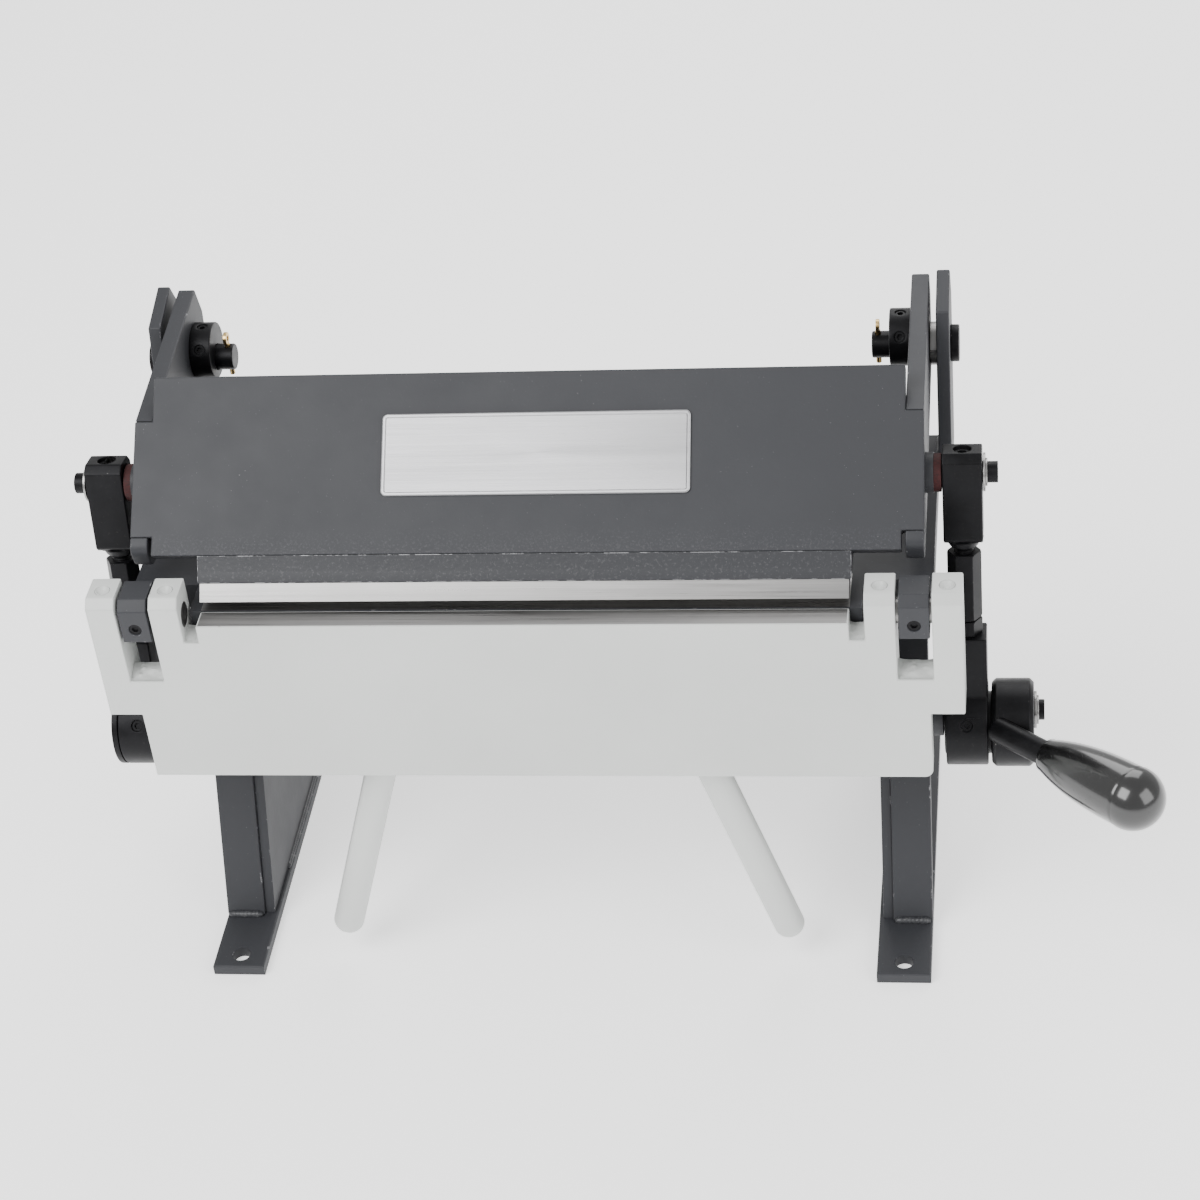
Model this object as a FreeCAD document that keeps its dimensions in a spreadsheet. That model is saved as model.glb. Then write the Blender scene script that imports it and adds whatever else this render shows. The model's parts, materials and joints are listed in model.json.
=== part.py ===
import FreeCAD, Part

import math
import os
import Sketcher

# Bench-top sheet metal brake, millimetres, +Z up, +X along the bending line, +Y to the back.
# The origin is the middle of the four bench bolt holes, on the bench.
# Most pieces are drawn from the bending datum: the front face of the apron (y) and the height
# of the hinge axis (z). Both are driving dimensions, so the machine can be raised or moved.

DIMENSIONS = {
    # bending datum and working length
    "front_face": -112, "hinge_height": 227, "hinge_back": 10.2, "work_half": 152.5,
    # feet, legs and side plates
    "foot_inner": 156.5, "foot_width": 27, "foot_thick": 6, "foot_half_length": 112,
    "bolt_x": 170, "bolt_y": 103, "bolt_hole": 9,
    "leg_width": 20, "leg_run": 8.5, "leg_foot": -74, "leg_top": -6, "leg_top_height": 193,
    "web_inner": 158.5, "web_thick": 5, "web_back": 104, "web_top_back": 40, "web_horn": -80,
    "web_horn_low": 112, "web_horn_bevel": 8, "web_setback": 2, "web_heel": 24, "foot_edge": 0.6,
    # bed and its stiffening bars
    "bed_front": 12.4, "bed_back": 150, "bed_thick": 14, "bed_half": 190, "bed_neck_half": 158.2,
    "bed_step": 33, "bar_thick": 12, "bar_drop": 50, "tie_thick": 8, "tie_drop": 54, "tie_back": 142,
    # hinge blocks and hinge pins
    "block_inner": 175, "block_width": 14, "block_face": 0.5, "block_drop": 9.4, "block_rise": 13,
    "block_bevel": 4.5, "block_back": 19.5, "hinge_pin": 12, "running_fit": 0.05,
    "block_tongue": 0.4, "hinge_screw": 6, "hinge_screw_drop": 2, "hinge_screw_sink": 0.6,
    "hinge_screw_length": 2, "hinge_pin_inner": 160, "hinge_pin_length": 43.7,
    # rear uprights and pivots
    "upright_inner": 190, "upright_thick": 6.4, "upright_front": 126, "upright_back": 168,
    "upright_waist_y": 181, "upright_waist_z": 36, "upright_shoulder_y": 184,
    "upright_shoulder_z": 62, "upright_crown_y": 173.5, "upright_crown_z": 80,
    "upright_brow_y": 146.5, "upright_brow_z": 72.7, "pivot_back": 158, "pivot_rise": 48,
    "pivot_pin": 13, "pivot_head": 18, "pivot_head_thick": 4.2, "pivot_end": 158.6,
    "split_at": 161.6, "split_wire": 2.6, "split_low": 10, "split_high": 8, "split_eye": 6.4,
    "split_eye_bore": 2.8, "split_eye_thick": 1.8, "split_eye_rise": 10.6,
    "spacer_outer": 21, "spacer_gap": 0.25,
    # apron
    "apron_thick": 12, "apron_half": 188.3, "apron_drop": 91.7, "apron_corner": 4,
    "ear_inner": 159.6, "ear_slot_in": 173.7, "ear_slot_out": 190.1, "ear_outer": 204.1,
    "ear_top": 14.5, "ear_drop": 53.4, "ear_slot_drop": 33, "ear_thick": 19.5, "ear_bevel": 4.3,
    "notch_drop": 10, "ear_screw": 7, "ear_screw_length": 7, "ear_screw_sink": 0.8,
    "rod_diameter": 15.6, "rod_top_x": 68.7, "rod_top_drop": 62, "rod_splay": 17.1, "rod_length": 156.4,
    "rod_dome": 6.5,
    # clamping beam
    "slope": 43.36, "plate_y": 26.5, "plate_z": 21.9, "plate_thick": 8, "plate_length": 86.4,
    "plate_foot_half": 176.2, "plate_foot": 9, "plate_half": 186.6, "plate_shoulder": 65,
    "plate_top_half": 178, "nose_half": 153.6, "nose_lap": 7, "nose_back": 48,
    "blade_y": 13, "blade_gap": 4.5, "blade_land": 7, "blade_back": 38, "blade_relief": 2.4,
    "blade_top_y": 18.7, "blade_top": 11.4, "blade_screw": 6, "blade_screw_head": 11,
    "blade_screw_y": 30, "blade_screw_pitch": 60, "blade_screw_length": 9.5,
    "blade_screw_sink": 0.6, "nose_lip_y": 4.9, "nose_lip_z": 6.5, "nose_step": 0.8,
    "nose_step_rise": 0.5,
    "arm_inner": 178, "arm_thick": 8.5, "arm_top_y": 174.7, "arm_top_z": 77.2, "arm_low": 11,
    "arm_nose_round": 6, "arm_back": 180, "arm_shoulder": 62, "arm_heel_y": 176, "arm_heel_z": 33,
    "arm_belly_y": 60, "arm_belly_rise": 2, "arm_chin_y": 32, "arm_toe": 2,
    "rib_thick": 6, "rib_pitch": 100, "rib_reach": 60,
    "label_left": -66, "label_width": 145.4, "label_low": 27.4, "label_height": 39,
    "label_thick": 1, "label_corner": 2.5,
    # eccentric collars on the arms
    "collar_outer": 28, "collar_boss": 24, "collar_throw": 4, "collar_start": 167.4,
    "collar_screw": 5, "collar_screw_turn": 58, "collar_screw_length": 3,
    "collar_screw_sink": 0.8, "collar_hole_depth": 4,
    # clamp pins and links
    "clamp_y": 67, "clamp_z": 36, "clamp_pin": 10, "clamp_pin_end": 219.6, "boss_outer": 19,
    "boss_length": 3.8, "fibre_outer": 18, "fibre_length": 3.5, "clip_washer": 1,
    "clip_outer": 13, "clip_thick": 0.9, "clip_gap": 0.4, "clamp_pin_bury": 0.5,
    "link_inner": 194.2, "link_width": 18.3, "link_depth": 18, "link_top": 12, "link_low": 33,
    "link_bevel": 3.6, "link_foot_bevel": 2, "link_neck": 15, "link_neck_flare": 1,
    "link_neck_length": 4, "link_screw": 8, "link_screw_length": 4, "link_screw_seat": 6.2,
    "link_hole_seat": 5, "stud": 9, "upper_stud_end": 56, "lower_stud_start": 64,
    "hex_flats": 14, "hex_bevel": 0.7, "hex_top": 40, "hex_low": 74.5, "jam_top": 75,
    "jam_low": 83,
    "cam_y": 44, "cam_z": -94.5, "cam_throw": 6.5, "cam_turn": 54, "cam_diameter": 30,
    "eye_outer": 41, "eye_bore": 33.4, "eye_inner": 193.5, "eye_width": 19.8, "eye_gap": 0.3,
    "eye_screw": 5.5, "eye_screw_turn": 56, "eye_screw_length": 2.2, "eye_screw_seat": 0.6,
    # cross shaft and hand lever
    "shaft": 16, "shaft_end": 10, "bearing_outer": 25, "bearing_end": 192, "cam_start": 192.8,
    "flange_thick": 3, "hub_start": 215, "hub_width": 20, "hub_diameter": 42.4, "hub_bevel": 2,
    "shaft_tip": 240, "shaft_washer": 18, "shaft_washer_thick": 1.2, "shaft_clip": 14,
    "shaft_clip_thick": 1, "shaft_clip_gap": 0.1,
    "lever_x": 220, "lever_bury": 3, "lever_out": 59.6, "lever_forward": 56.1,
    "lever_rise": 8, "lever_seat": 27, "lever_rod": 12, "lever_rod_end": 60, "grip_start": 29,
    "grip_lip": 1, "grip_swell": 24, "grip_swell_step": 1.6, "grip_neck_end": 6,
    "grip_length": 68, "grip_diameter": 30.4, "grip_neck": 16.5,
}


class Size:
    """A value of the sheet, or a sum worked out from some, with the expression that gives it."""

    def __init__(self, value, text):
        self.value = value
        self.text = text

    def __add__(self, other):
        other = size(other)
        return Size(self.value + other.value, f"({self.text} + {other.text})")

    def __radd__(self, other):
        return size(other) + self

    def __sub__(self, other):
        other = size(other)
        return Size(self.value - other.value, f"({self.text} - {other.text})")

    def __rsub__(self, other):
        return size(other) - self

    def __mul__(self, other):
        other = size(other)
        return Size(self.value * other.value, f"({self.text} * {other.text})")

    def __rmul__(self, other):
        return size(other) * self

    def __truediv__(self, other):
        other = size(other)
        return Size(self.value / other.value, f"({self.text} / {other.text})")

    def __neg__(self):
        return Size(-self.value, f"(-1 * {self.text})")


def size(number):
    if isinstance(number, Size):
        return number
    return Size(float(number), f"({float(number)})")


def sine(angle):
    return Size(math.sin(math.radians(angle.value)), f"sin({angle.text})")


def cosine(angle):
    return Size(math.cos(math.radians(angle.value)), f"cos({angle.text})")


doc = FreeCAD.newDocument("brake")
sheet = doc.addObject("Spreadsheet::Sheet", "dims")
for row, (alias, number) in enumerate(DIMENSIONS.items(), start=1):
    sheet.set(f"A{row}", alias)
    sheet.set(f"B{row}", str(number))
    sheet.setAlias(f"B{row}", alias)
doc.recompute()


def dim(alias):
    return Size(float(DIMENSIONS[alias]), f"dims.{alias}")


SIDES = (("left", -1), ("right", 1))
nodes = []


# ---------------------------------------------------------------- building blocks

def bind(obj, prop, value):
    obj.setExpression(prop, size(value).text)


def place(obj, x=0, y=0, z=0, turn=None, axis=FreeCAD.Vector(1, 0, 0)):
    """Put an object at a point of the machine, turned by an angle about an axis."""
    rotation = FreeCAD.Rotation()
    if turn is not None:
        rotation = FreeCAD.Rotation(axis, size(turn).value)
    base = FreeCAD.Vector(size(x).value, size(y).value, size(z).value)
    obj.Placement = FreeCAD.Placement(base, rotation)
    bind(obj, "Placement.Base.x", x)
    bind(obj, "Placement.Base.y", y)
    bind(obj, "Placement.Base.z", z)
    if turn is not None:
        bind(obj, "Placement.Rotation.Angle", turn)


def at_datum(obj):
    place(obj, 0, dim("front_face"), dim("hinge_height"))


def new_body(label):
    body = doc.addObject("PartDesign::Body", label)
    body.Label = label
    return body


def keep(obj, label):
    obj.Label = label
    nodes.append(obj)
    return obj


def new_sketch(body, role, offset=0):
    """A sketch on one of the body's own origin planes, moved along the plane's normal."""
    sketch = body.newObject("Sketcher::SketchObject", "Sketch")
    plane = [item for item in body.Origin.OriginFeatures if item.Role == role][0]
    sketch.AttachmentSupport = (plane, [""])
    sketch.MapMode = "FlatFace"
    bind(sketch, "AttachmentOffset.Base.z", offset)
    return sketch


def fix_point(sketch, geometry, end, x, y):
    for kind, value in (("DistanceX", size(x)), ("DistanceY", size(y))):
        row = sketch.addConstraint(Sketcher.Constraint(kind, -1, 1, geometry, end, value.value))
        sketch.setExpression(f"Constraints[{row}]", value.text)


def outline(sketch, points):
    """A closed outline of straight lines through points given as pairs of sizes."""
    corners = [FreeCAD.Vector(size(x).value, size(y).value, 0) for x, y in points]
    count = len(corners)
    first = sketch.GeometryCount
    for index in range(count):
        sketch.addGeometry(Part.LineSegment(corners[index], corners[(index + 1) % count]))
    for index in range(count):
        following = first + (index + 1) % count
        sketch.addConstraint(Sketcher.Constraint("Coincident", first + index, 2, following, 1))
    for index, (x, y) in enumerate(points):
        fix_point(sketch, first + index, 1, x, y)


def ring(sketch, x, y, diameter):
    centre = FreeCAD.Vector(size(x).value, size(y).value, 0)
    radius = size(diameter) / 2
    index = sketch.addGeometry(Part.Circle(centre, FreeCAD.Vector(0, 0, 1), radius.value))
    fix_point(sketch, index, 3, x, y)
    row = sketch.addConstraint(Sketcher.Constraint("Radius", index, radius.value))
    sketch.setExpression(f"Constraints[{row}]", radius.text)


def pad(body, sketch, length):
    feature = body.newObject("PartDesign::Pad", "Pad")
    feature.Profile = sketch
    bind(feature, "Length", length)
    return feature


def revolve(body, sketch):
    """Turn a profile about the sketch's horizontal axis."""
    feature = body.newObject("PartDesign::Revolution", "Turned")
    feature.Profile = sketch
    feature.ReferenceAxis = (sketch, ["H_Axis"])
    feature.Angle = 360
    return feature


def edges_where(shape, test):
    names = []
    for number, edge in enumerate(shape.Edges, start=1):
        middle = edge.valueAt((edge.FirstParameter + edge.LastParameter) / 2)
        if test(edge, middle):
            names.append(f"Edge{number}")
    return names


def dress(body, base, kind, prop, value, test):
    """Round or bevel the edges of a feature that pass a test of place and direction."""
    doc.recompute()
    names = edges_where(base.Shape, test)
    if not names:
        raise RuntimeError(f"no edge to dress on {body.Label}")
    feature = body.newObject(kind, kind.split("::")[1])
    feature.Base = (base, names)
    bind(feature, prop, value)
    return feature


def near(a, b):
    return abs(a - b) < 0.05


def runs_along(edge, direction):
    if len(edge.Vertexes) < 2:
        return False
    span = edge.Vertexes[-1].Point - edge.Vertexes[0].Point
    return abs(span.dot(direction)) > 0.999 * span.Length and span.Length > 0.1


ALONG_X = FreeCAD.Vector(1, 0, 0)
ALONG_Y = FreeCAD.Vector(0, 1, 0)
ALONG_Z = FreeCAD.Vector(0, 0, 1)


def slab(label, profile, inner, thick, side=1, holes=()):
    """A plate drawn in the YZ plane; inner is its distance from the middle of the machine."""
    body = new_body(label)
    start = size(inner) if side > 0 else -(size(inner) + size(thick))
    sketch = new_sketch(body, "YZ_Plane", start)
    outline(sketch, profile)
    for y, z, diameter in holes:
        ring(sketch, y, z, diameter)
    pad(body, sketch, thick)
    return body


def turned(label, steps, side=1):
    """A turned piece along X: steps are (start, end, radius) rows, drawn as one outline."""
    body = new_body(label)
    sketch = new_sketch(body, "XY_Plane")
    points = [(steps[0][0] * side, size(0))]
    for start, end, radius in steps:
        points.append((start * side, radius))
        points.append((end * side, radius))
    points.append((steps[-1][1] * side, size(0)))
    outline(sketch, points)
    revolve(body, sketch)
    return body


def cylinder(x, y, z, diameter, length, axis, side=1):
    """A plain cylinder for holes and small pieces, from a point along a machine axis."""
    item = doc.addObject("Part::Cylinder", "Cylinder")
    bind(item, "Radius", size(diameter) / 2)
    bind(item, "Height", length)
    turns = {"x": (ALONG_Y, 90 * side), "y": (ALONG_X, -90), "z": (ALONG_Z, 0)}
    direction, angle = turns[axis]
    place(item, x, y, z, angle, direction)
    return item


def cut(base, tools, label):
    tool = tools[0]
    if len(tools) > 1:
        tool = doc.addObject("Part::MultiFuse", "Tools")
        tool.Shapes = tools
    result = doc.addObject("Part::Cut", label)
    result.Base = base
    result.Tool = tool
    return result


def group(items, label):
    result = doc.addObject("Part::Compound", label)
    result.Links = items
    return keep(result, label)


def hex_prism(flats, length):
    item = doc.addObject("Part::Prism", "Hexagon")
    item.Polygon = 6
    bind(item, "Circumradius", size(flats) / cosine(size(30)) / 2)
    bind(item, "Height", length)
    return item


def grub_screw(diameter, length):
    """A set screw along its own Z, its hexagon socket open at the top."""
    shank = doc.addObject("Part::Cylinder", "Shank")
    bind(shank, "Radius", size(diameter) / 2)
    bind(shank, "Height", length)
    socket = hex_prism(size(diameter) / 2, size(length) / 2)
    bind(socket, "Placement.Base.z", size(length) / 2)
    return cut(shank, [socket], "GrubScrew")


FRONT = dim("front_face")
HEIGHT = dim("hinge_height")
HINGE_Y = FRONT + dim("hinge_back")


# ---------------------------------------------------------------- frame that stands on the bench

def foot_bar(name, side):
    body = new_body(f"foot_bar_{name}")
    sketch = new_sketch(body, "XY_Plane")
    inner = dim("foot_inner") * side
    outer = (dim("foot_inner") + dim("foot_width")) * side
    half = dim("foot_half_length")
    outline(sketch, [(inner, -half), (outer, -half), (outer, half), (inner, half)])
    for end in (-1, 1):
        ring(sketch, dim("bolt_x") * side, dim("bolt_y") * end, dim("bolt_hole"))
    base = pad(body, sketch, dim("foot_thick"))
    thick = DIMENSIONS["foot_thick"]
    dress(body, base, "PartDesign::Chamfer", "Size", dim("foot_edge"),
          lambda edge, middle: near(middle.z, thick) and len(edge.Vertexes) == 2)
    keep(body, f"foot_bar_{name}")


def leg_bar(name, side):
    run = dim("leg_run")
    profile = [
        (dim("leg_foot"), dim("foot_thick")), (dim("leg_foot") + run, dim("foot_thick")),
        (dim("leg_top") + run, dim("leg_top_height")), (dim("leg_top"), dim("leg_top_height"))]
    inner = dim("web_inner") + dim("web_thick")
    keep(slab(f"leg_bar_{name}", profile, inner, dim("leg_width"), side), f"leg_bar_{name}")


def leg_line(height):
    """Y of the front of the leg bar at a height."""
    lean = (dim("leg_top") - dim("leg_foot")) / (dim("leg_top_height") - dim("foot_thick"))
    return dim("leg_foot") + lean * (height - dim("foot_thick"))


def side_plate(name, side):
    top = HEIGHT - dim("bed_thick")
    low = dim("web_horn_low")
    horn = dim("web_horn")
    setback = dim("web_setback")
    profile = [
        (leg_line(dim("foot_thick")) + setback, dim("foot_thick")),
        (dim("web_back"), dim("foot_thick")),
        (dim("web_back"), dim("foot_thick") + dim("web_heel")),
        (dim("web_top_back"), top), (horn, top), (horn, low + dim("web_horn_bevel")),
        (horn + dim("web_horn_bevel"), low),
        (leg_line(low) + setback, low)]
    hole = (FRONT + SHAFT_Y, HEIGHT + SHAFT_Z, dim("shaft") + 2 * dim("running_fit"))
    label = f"side_plate_{name}"
    keep(slab(label, profile, dim("web_inner"), dim("web_thick"), side, [hole]), label)


def bed_plate():
    body = new_body("bed_plate")
    at_datum(body)
    sketch = new_sketch(body, "XY_Plane", -dim("bed_thick"))
    neck = dim("bed_neck_half")
    half = dim("bed_half")
    front, step, back = dim("bed_front"), dim("bed_step"), dim("bed_back")
    outline(sketch, [
        (-neck, front), (neck, front), (neck, step), (half, step),
        (half, back), (-half, back), (-half, step), (-neck, step)])
    pad(body, sketch, dim("bed_thick"))
    keep(body, "bed_plate")


def cross_bar(label, front, thick, drop, half):
    body = new_body(label)
    at_datum(body)
    sketch = new_sketch(body, "YZ_Plane", -half)
    low = -drop
    high = -dim("bed_thick")
    outline(sketch, [(front, low), (front + thick, low), (front + thick, high), (front, high)])
    pad(body, sketch, 2 * half)
    keep(body, label)


def hinge_block(name, side):
    face, bevel = dim("block_face"), dim("block_bevel")
    low, high = -dim("block_drop"), dim("block_rise")
    tongue = -dim("block_tongue")
    profile = [
        (face, low), (dim("bed_step"), low), (dim("bed_step"), tongue),
        (dim("block_back"), tongue), (dim("block_back"), high), (face + bevel, high),
        (face, high - bevel)]
    bore = (dim("hinge_back"), 0, dim("hinge_pin") + 2 * dim("running_fit"))
    body = slab(f"block_{name}", profile, dim("block_inner"), dim("block_width"), side, [bore])
    at_datum(body)
    middle = (dim("block_inner") + dim("block_width") / 2) * side
    hole = cylinder(
        middle, FRONT, HEIGHT - dim("hinge_screw_drop"), dim("hinge_screw"), dim("hinge_back"), "y")
    keep(cut(body, [hole], f"hinge_block_{name}"), f"hinge_block_{name}")


def hinge_block_screws():
    screws = []
    for name, side in SIDES:
        length = dim("hinge_screw_length")
        screw = grub_screw(dim("hinge_screw"), length)
        middle = (dim("block_inner") + dim("block_width") / 2) * side
        place(screw, middle, FRONT + dim("block_face") + dim("hinge_screw_sink") + length,
              HEIGHT - dim("hinge_screw_drop"), 90)
        screws.append(screw)
    group(screws, "hinge_block_screws")


def rear_upright(name, side):
    low = -dim("bed_thick")
    profile = [
        (dim("upright_front"), low), (dim("upright_brow_y"), dim("upright_brow_z")),
        (dim("upright_crown_y"), dim("upright_crown_z")),
        (dim("upright_shoulder_y"), dim("upright_shoulder_z")),
        (dim("upright_waist_y"), dim("upright_waist_z")), (dim("upright_back"), low)]
    hole = (dim("pivot_back"), dim("pivot_rise"), dim("pivot_pin"))
    label = f"rear_upright_{name}"
    body = slab(label, profile, dim("upright_inner"), dim("upright_thick"), side, [hole])
    at_datum(body)
    keep(body, label)


def pivot_pins():
    pins = []
    for name, side in SIDES:
        outside = dim("upright_inner") + dim("upright_thick")
        steps = [
            (dim("pivot_end"), outside, dim("pivot_pin") / 2),
            (outside, outside + dim("pivot_head_thick"), dim("pivot_head") / 2)]
        pin = turned(f"pivot_pin_{name}", steps, side)
        place(pin, 0, FRONT + dim("pivot_back"), HEIGHT + dim("pivot_rise"))
        hole = cylinder(
            dim("split_at") * side, FRONT + dim("pivot_back"),
            HEIGHT + dim("pivot_rise") - dim("split_low"),
            dim("split_wire"), 2 * dim("split_low"), "z")
        pins.append(cut(pin, [hole], f"drilled_{name}"))
    group(pins, "pivot_pins")


def split_pins():
    """Split pins through the pivot pins: a straight wire with a flat eye above."""
    pins = []
    half = dim("split_eye_thick") / 2
    for name, side in SIDES:
        x = dim("split_at") * side
        y = FRONT + dim("pivot_back")
        z = HEIGHT + dim("pivot_rise")
        wire = cylinder(x, y, z - dim("split_low"), dim("split_wire"),
                        dim("split_low") + dim("split_high"), "z")
        disc = turned(f"split_eye_{name}", [
            (dim("split_at") - half, dim("split_at") + half, dim("split_eye") / 2)], side)
        place(disc, 0, y, z + dim("split_eye_rise"))
        hole = cylinder(x - dim("split_wire"), y, z + dim("split_eye_rise"),
                        dim("split_eye_bore"), 2 * dim("split_wire"), "x")
        joined = doc.addObject("Part::Fuse", f"split_pin_{name}")
        joined.Base = wire
        joined.Tool = cut(disc, [hole], f"bored_split_eye_{name}")
        pins.append(joined)
    group(pins, "pivot_split_pins")


def pivot_spacers():
    """Washers that keep the beam arms off the rear uprights."""
    washers = []
    for name, side in SIDES:
        inner = dim("arm_inner") + dim("arm_thick") + dim("spacer_gap")
        washer = turned(f"spacer_{name}", [
            (inner, dim("upright_inner"), dim("spacer_outer") / 2)], side)
        place(washer, 0, FRONT + dim("pivot_back"), HEIGHT + dim("pivot_rise"))
        hole = cylinder(
            (inner - 1) * side, FRONT + dim("pivot_back"), HEIGHT + dim("pivot_rise"),
            dim("pivot_pin"), dim("upright_inner") - inner + 2, "x", side)
        washers.append(cut(washer, [hole], f"bored_spacer_{name}"))
    group(washers, "pivot_spacers")


def shaft_bearing(name, side):
    start = dim("web_inner") + dim("web_thick")
    tube = turned(f"bearing_{name}", [
        (start, dim("bearing_end"), dim("bearing_outer") / 2)], side)
    place(tube, 0, FRONT + SHAFT_Y, HEIGHT + SHAFT_Z)
    hole = cylinder(
        (start - 1) * side, FRONT + SHAFT_Y, HEIGHT + SHAFT_Z,
        dim("shaft") + 2 * dim("running_fit"), dim("bearing_end") - start + 2, "x", side)
    keep(cut(tube, [hole], f"shaft_bearing_{name}"), f"shaft_bearing_{name}")


# ---------------------------------------------------------------- bending apron

def apron_plate():
    body = new_body("apron_plate")
    at_datum(body)
    thick = dim("apron_thick")
    sketch = new_sketch(body, "XZ_Plane", -thick)
    right = [
        (dim("work_half"), 0), (dim("work_half"), -dim("notch_drop")),
        (dim("ear_inner"), -dim("notch_drop")), (dim("ear_inner"), -dim("ear_drop")),
        (dim("apron_half"), -dim("ear_drop")), (dim("apron_half"), -dim("apron_drop"))]
    left = [(-size(x), y) for x, y in reversed(right)]
    outline(sketch, right + left)
    base = pad(body, sketch, thick)
    half, drop = DIMENSIONS["apron_half"], DIMENSIONS["apron_drop"]
    dress(body, base, "PartDesign::Fillet", "Radius", dim("apron_corner"),
          lambda edge, middle: near(middle.x, half) and near(middle.z, -drop)
          and runs_along(edge, ALONG_Y))
    keep(body, "apron_plate")


def ear_block(name, side):
    """Forked block at each end of the apron, with the slot that takes the hinge block.

    Below the slot it is no thicker than the apron's plate.
    """
    body = new_body(f"fork_{name}")
    at_datum(body)
    sketch = new_sketch(body, "XZ_Plane", -dim("ear_thick"))
    low, high, slot = -dim("ear_drop"), dim("ear_top"), -dim("ear_slot_drop")
    inner, outer = dim("ear_inner"), dim("ear_outer")
    slot_in, slot_out = dim("ear_slot_in"), dim("ear_slot_out")
    points = [
        (inner, low), (outer, low), (outer, high), (slot_out, high),
        (slot_out, slot), (slot_in, slot), (slot_in, high), (inner, high)]
    outline(sketch, [(x * side, y) for x, y in points])
    base = pad(body, sketch, dim("ear_thick"))
    top = DIMENSIONS["ear_top"]
    dress(body, base, "PartDesign::Chamfer", "Size", dim("ear_bevel"),
          lambda edge, middle: near(middle.z, top) and near(middle.y, 0)
          and runs_along(edge, ALONG_X))
    bore = cylinder(
        (inner - 1) * side, HINGE_Y, HEIGHT, dim("hinge_pin"), outer - inner + 2, "x", side)
    relief = doc.addObject("Part::Box", "Relief")
    bind(relief, "Length", slot_out - slot_in)
    bind(relief, "Width", dim("ear_thick"))
    bind(relief, "Height", slot - low + 1)
    place(relief, slot_in if side > 0 else -slot_out, FRONT + dim("apron_thick"), HEIGHT + low - 1)
    tools = [bore, relief]
    for x in ear_screw_places(side):
        tools.append(cylinder(
            x, HINGE_Y, HEIGHT, dim("ear_screw"), dim("ear_top") + 1, "z"))
    keep(cut(body, tools, f"ear_block_{name}"), f"ear_block_{name}")


def ear_screw_places(side):
    inner_middle = (dim("ear_inner") + dim("ear_slot_in")) / 2
    outer_middle = (dim("ear_slot_out") + dim("ear_outer")) / 2
    return [inner_middle * side, outer_middle * side]


def ear_screws():
    """Set screws that hold the hinge pins in the forks."""
    screws = []
    for name, side in SIDES:
        for x in ear_screw_places(side):
            screw = grub_screw(dim("ear_screw"), dim("ear_screw_length"))
            place(screw, x, HINGE_Y,
                  HEIGHT + dim("ear_top") - dim("ear_screw_sink") - dim("ear_screw_length"))
            screws.append(screw)
    group(screws, "ear_screws")


def hinge_pins():
    pins = []
    for name, side in SIDES:
        start = dim("hinge_pin_inner")
        pin = turned(f"hinge_pin_{name}", [
            (start, start + dim("hinge_pin_length"), dim("hinge_pin") / 2)], side)
        place(pin, 0, HINGE_Y, HEIGHT)
        pins.append(pin)
    group(pins, "hinge_pins")


def handle_rod(name, side):
    """Round bar behind the apron, splayed outwards, with a domed end."""
    body = new_body(f"handle_rod_{name}")
    sketch = new_sketch(body, "XY_Plane")
    ring(sketch, 0, 0, dim("rod_diameter"))
    base = pad(body, sketch, dim("rod_length"))
    length = DIMENSIONS["rod_length"]
    dress(body, base, "PartDesign::Fillet", "Radius", dim("rod_dome"),
          lambda edge, middle: near(middle.z, length))
    back = FRONT + dim("apron_thick") + dim("rod_diameter") / 2
    place(body, dim("rod_top_x") * side, back, HEIGHT - dim("rod_top_drop"),
          (180 - dim("rod_splay")) * side, ALONG_Y)
    keep(body, f"handle_rod_{name}")


# ---------------------------------------------------------------- clamping beam

SLOPE = dim("slope")


def on_plate(along, depth=0):
    """A point of the beam plate from the bending datum: distance up the slope and into it."""
    y = dim("plate_y") + size(along) * cosine(SLOPE) + size(depth) * sine(SLOPE)
    z = dim("plate_z") + size(along) * sine(SLOPE) - size(depth) * cosine(SLOPE)
    return (y, z)


def beam_plate():
    body = new_body("beam_plate")
    place(body, 0, FRONT + dim("plate_y"), HEIGHT + dim("plate_z"), SLOPE)
    sketch = new_sketch(body, "XY_Plane", -dim("plate_thick"))
    right = [
        (dim("plate_foot_half"), 0), (dim("plate_foot_half"), dim("plate_foot")),
        (dim("plate_half"), dim("plate_foot")), (dim("plate_half"), dim("plate_shoulder")),
        (dim("plate_top_half"), dim("plate_shoulder")), (dim("plate_top_half"), dim("plate_length"))]
    left = [(-x, y) for x, y in reversed(right)]
    outline(sketch, right + left)
    pad(body, sketch, dim("plate_thick"))
    keep(body, "beam_plate")


def nose_bar():
    lap_y, lap_z = on_plate(dim("nose_lap"), dim("plate_thick"))
    foot_y, foot_z = on_plate(0)
    lip_y, lip_z = dim("nose_lip_y"), dim("nose_lip_z")
    profile = [
        (dim("blade_top_y"), dim("blade_top")), (foot_y - lip_y, foot_z - lip_z),
        (foot_y - lip_y + dim("nose_step"), foot_z - lip_z + dim("nose_step_rise")),
        (foot_y, foot_z), on_plate(0, dim("plate_thick")),
        (lap_y, lap_z), (dim("nose_back"), lap_z), (dim("nose_back"), dim("blade_top"))]
    half = dim("nose_half")
    body = slab("nose", profile, -half, 2 * half)
    at_datum(body)
    keep(cut(body, blade_screw_shapes(), "nose_bar"), "nose_bar")


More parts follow.
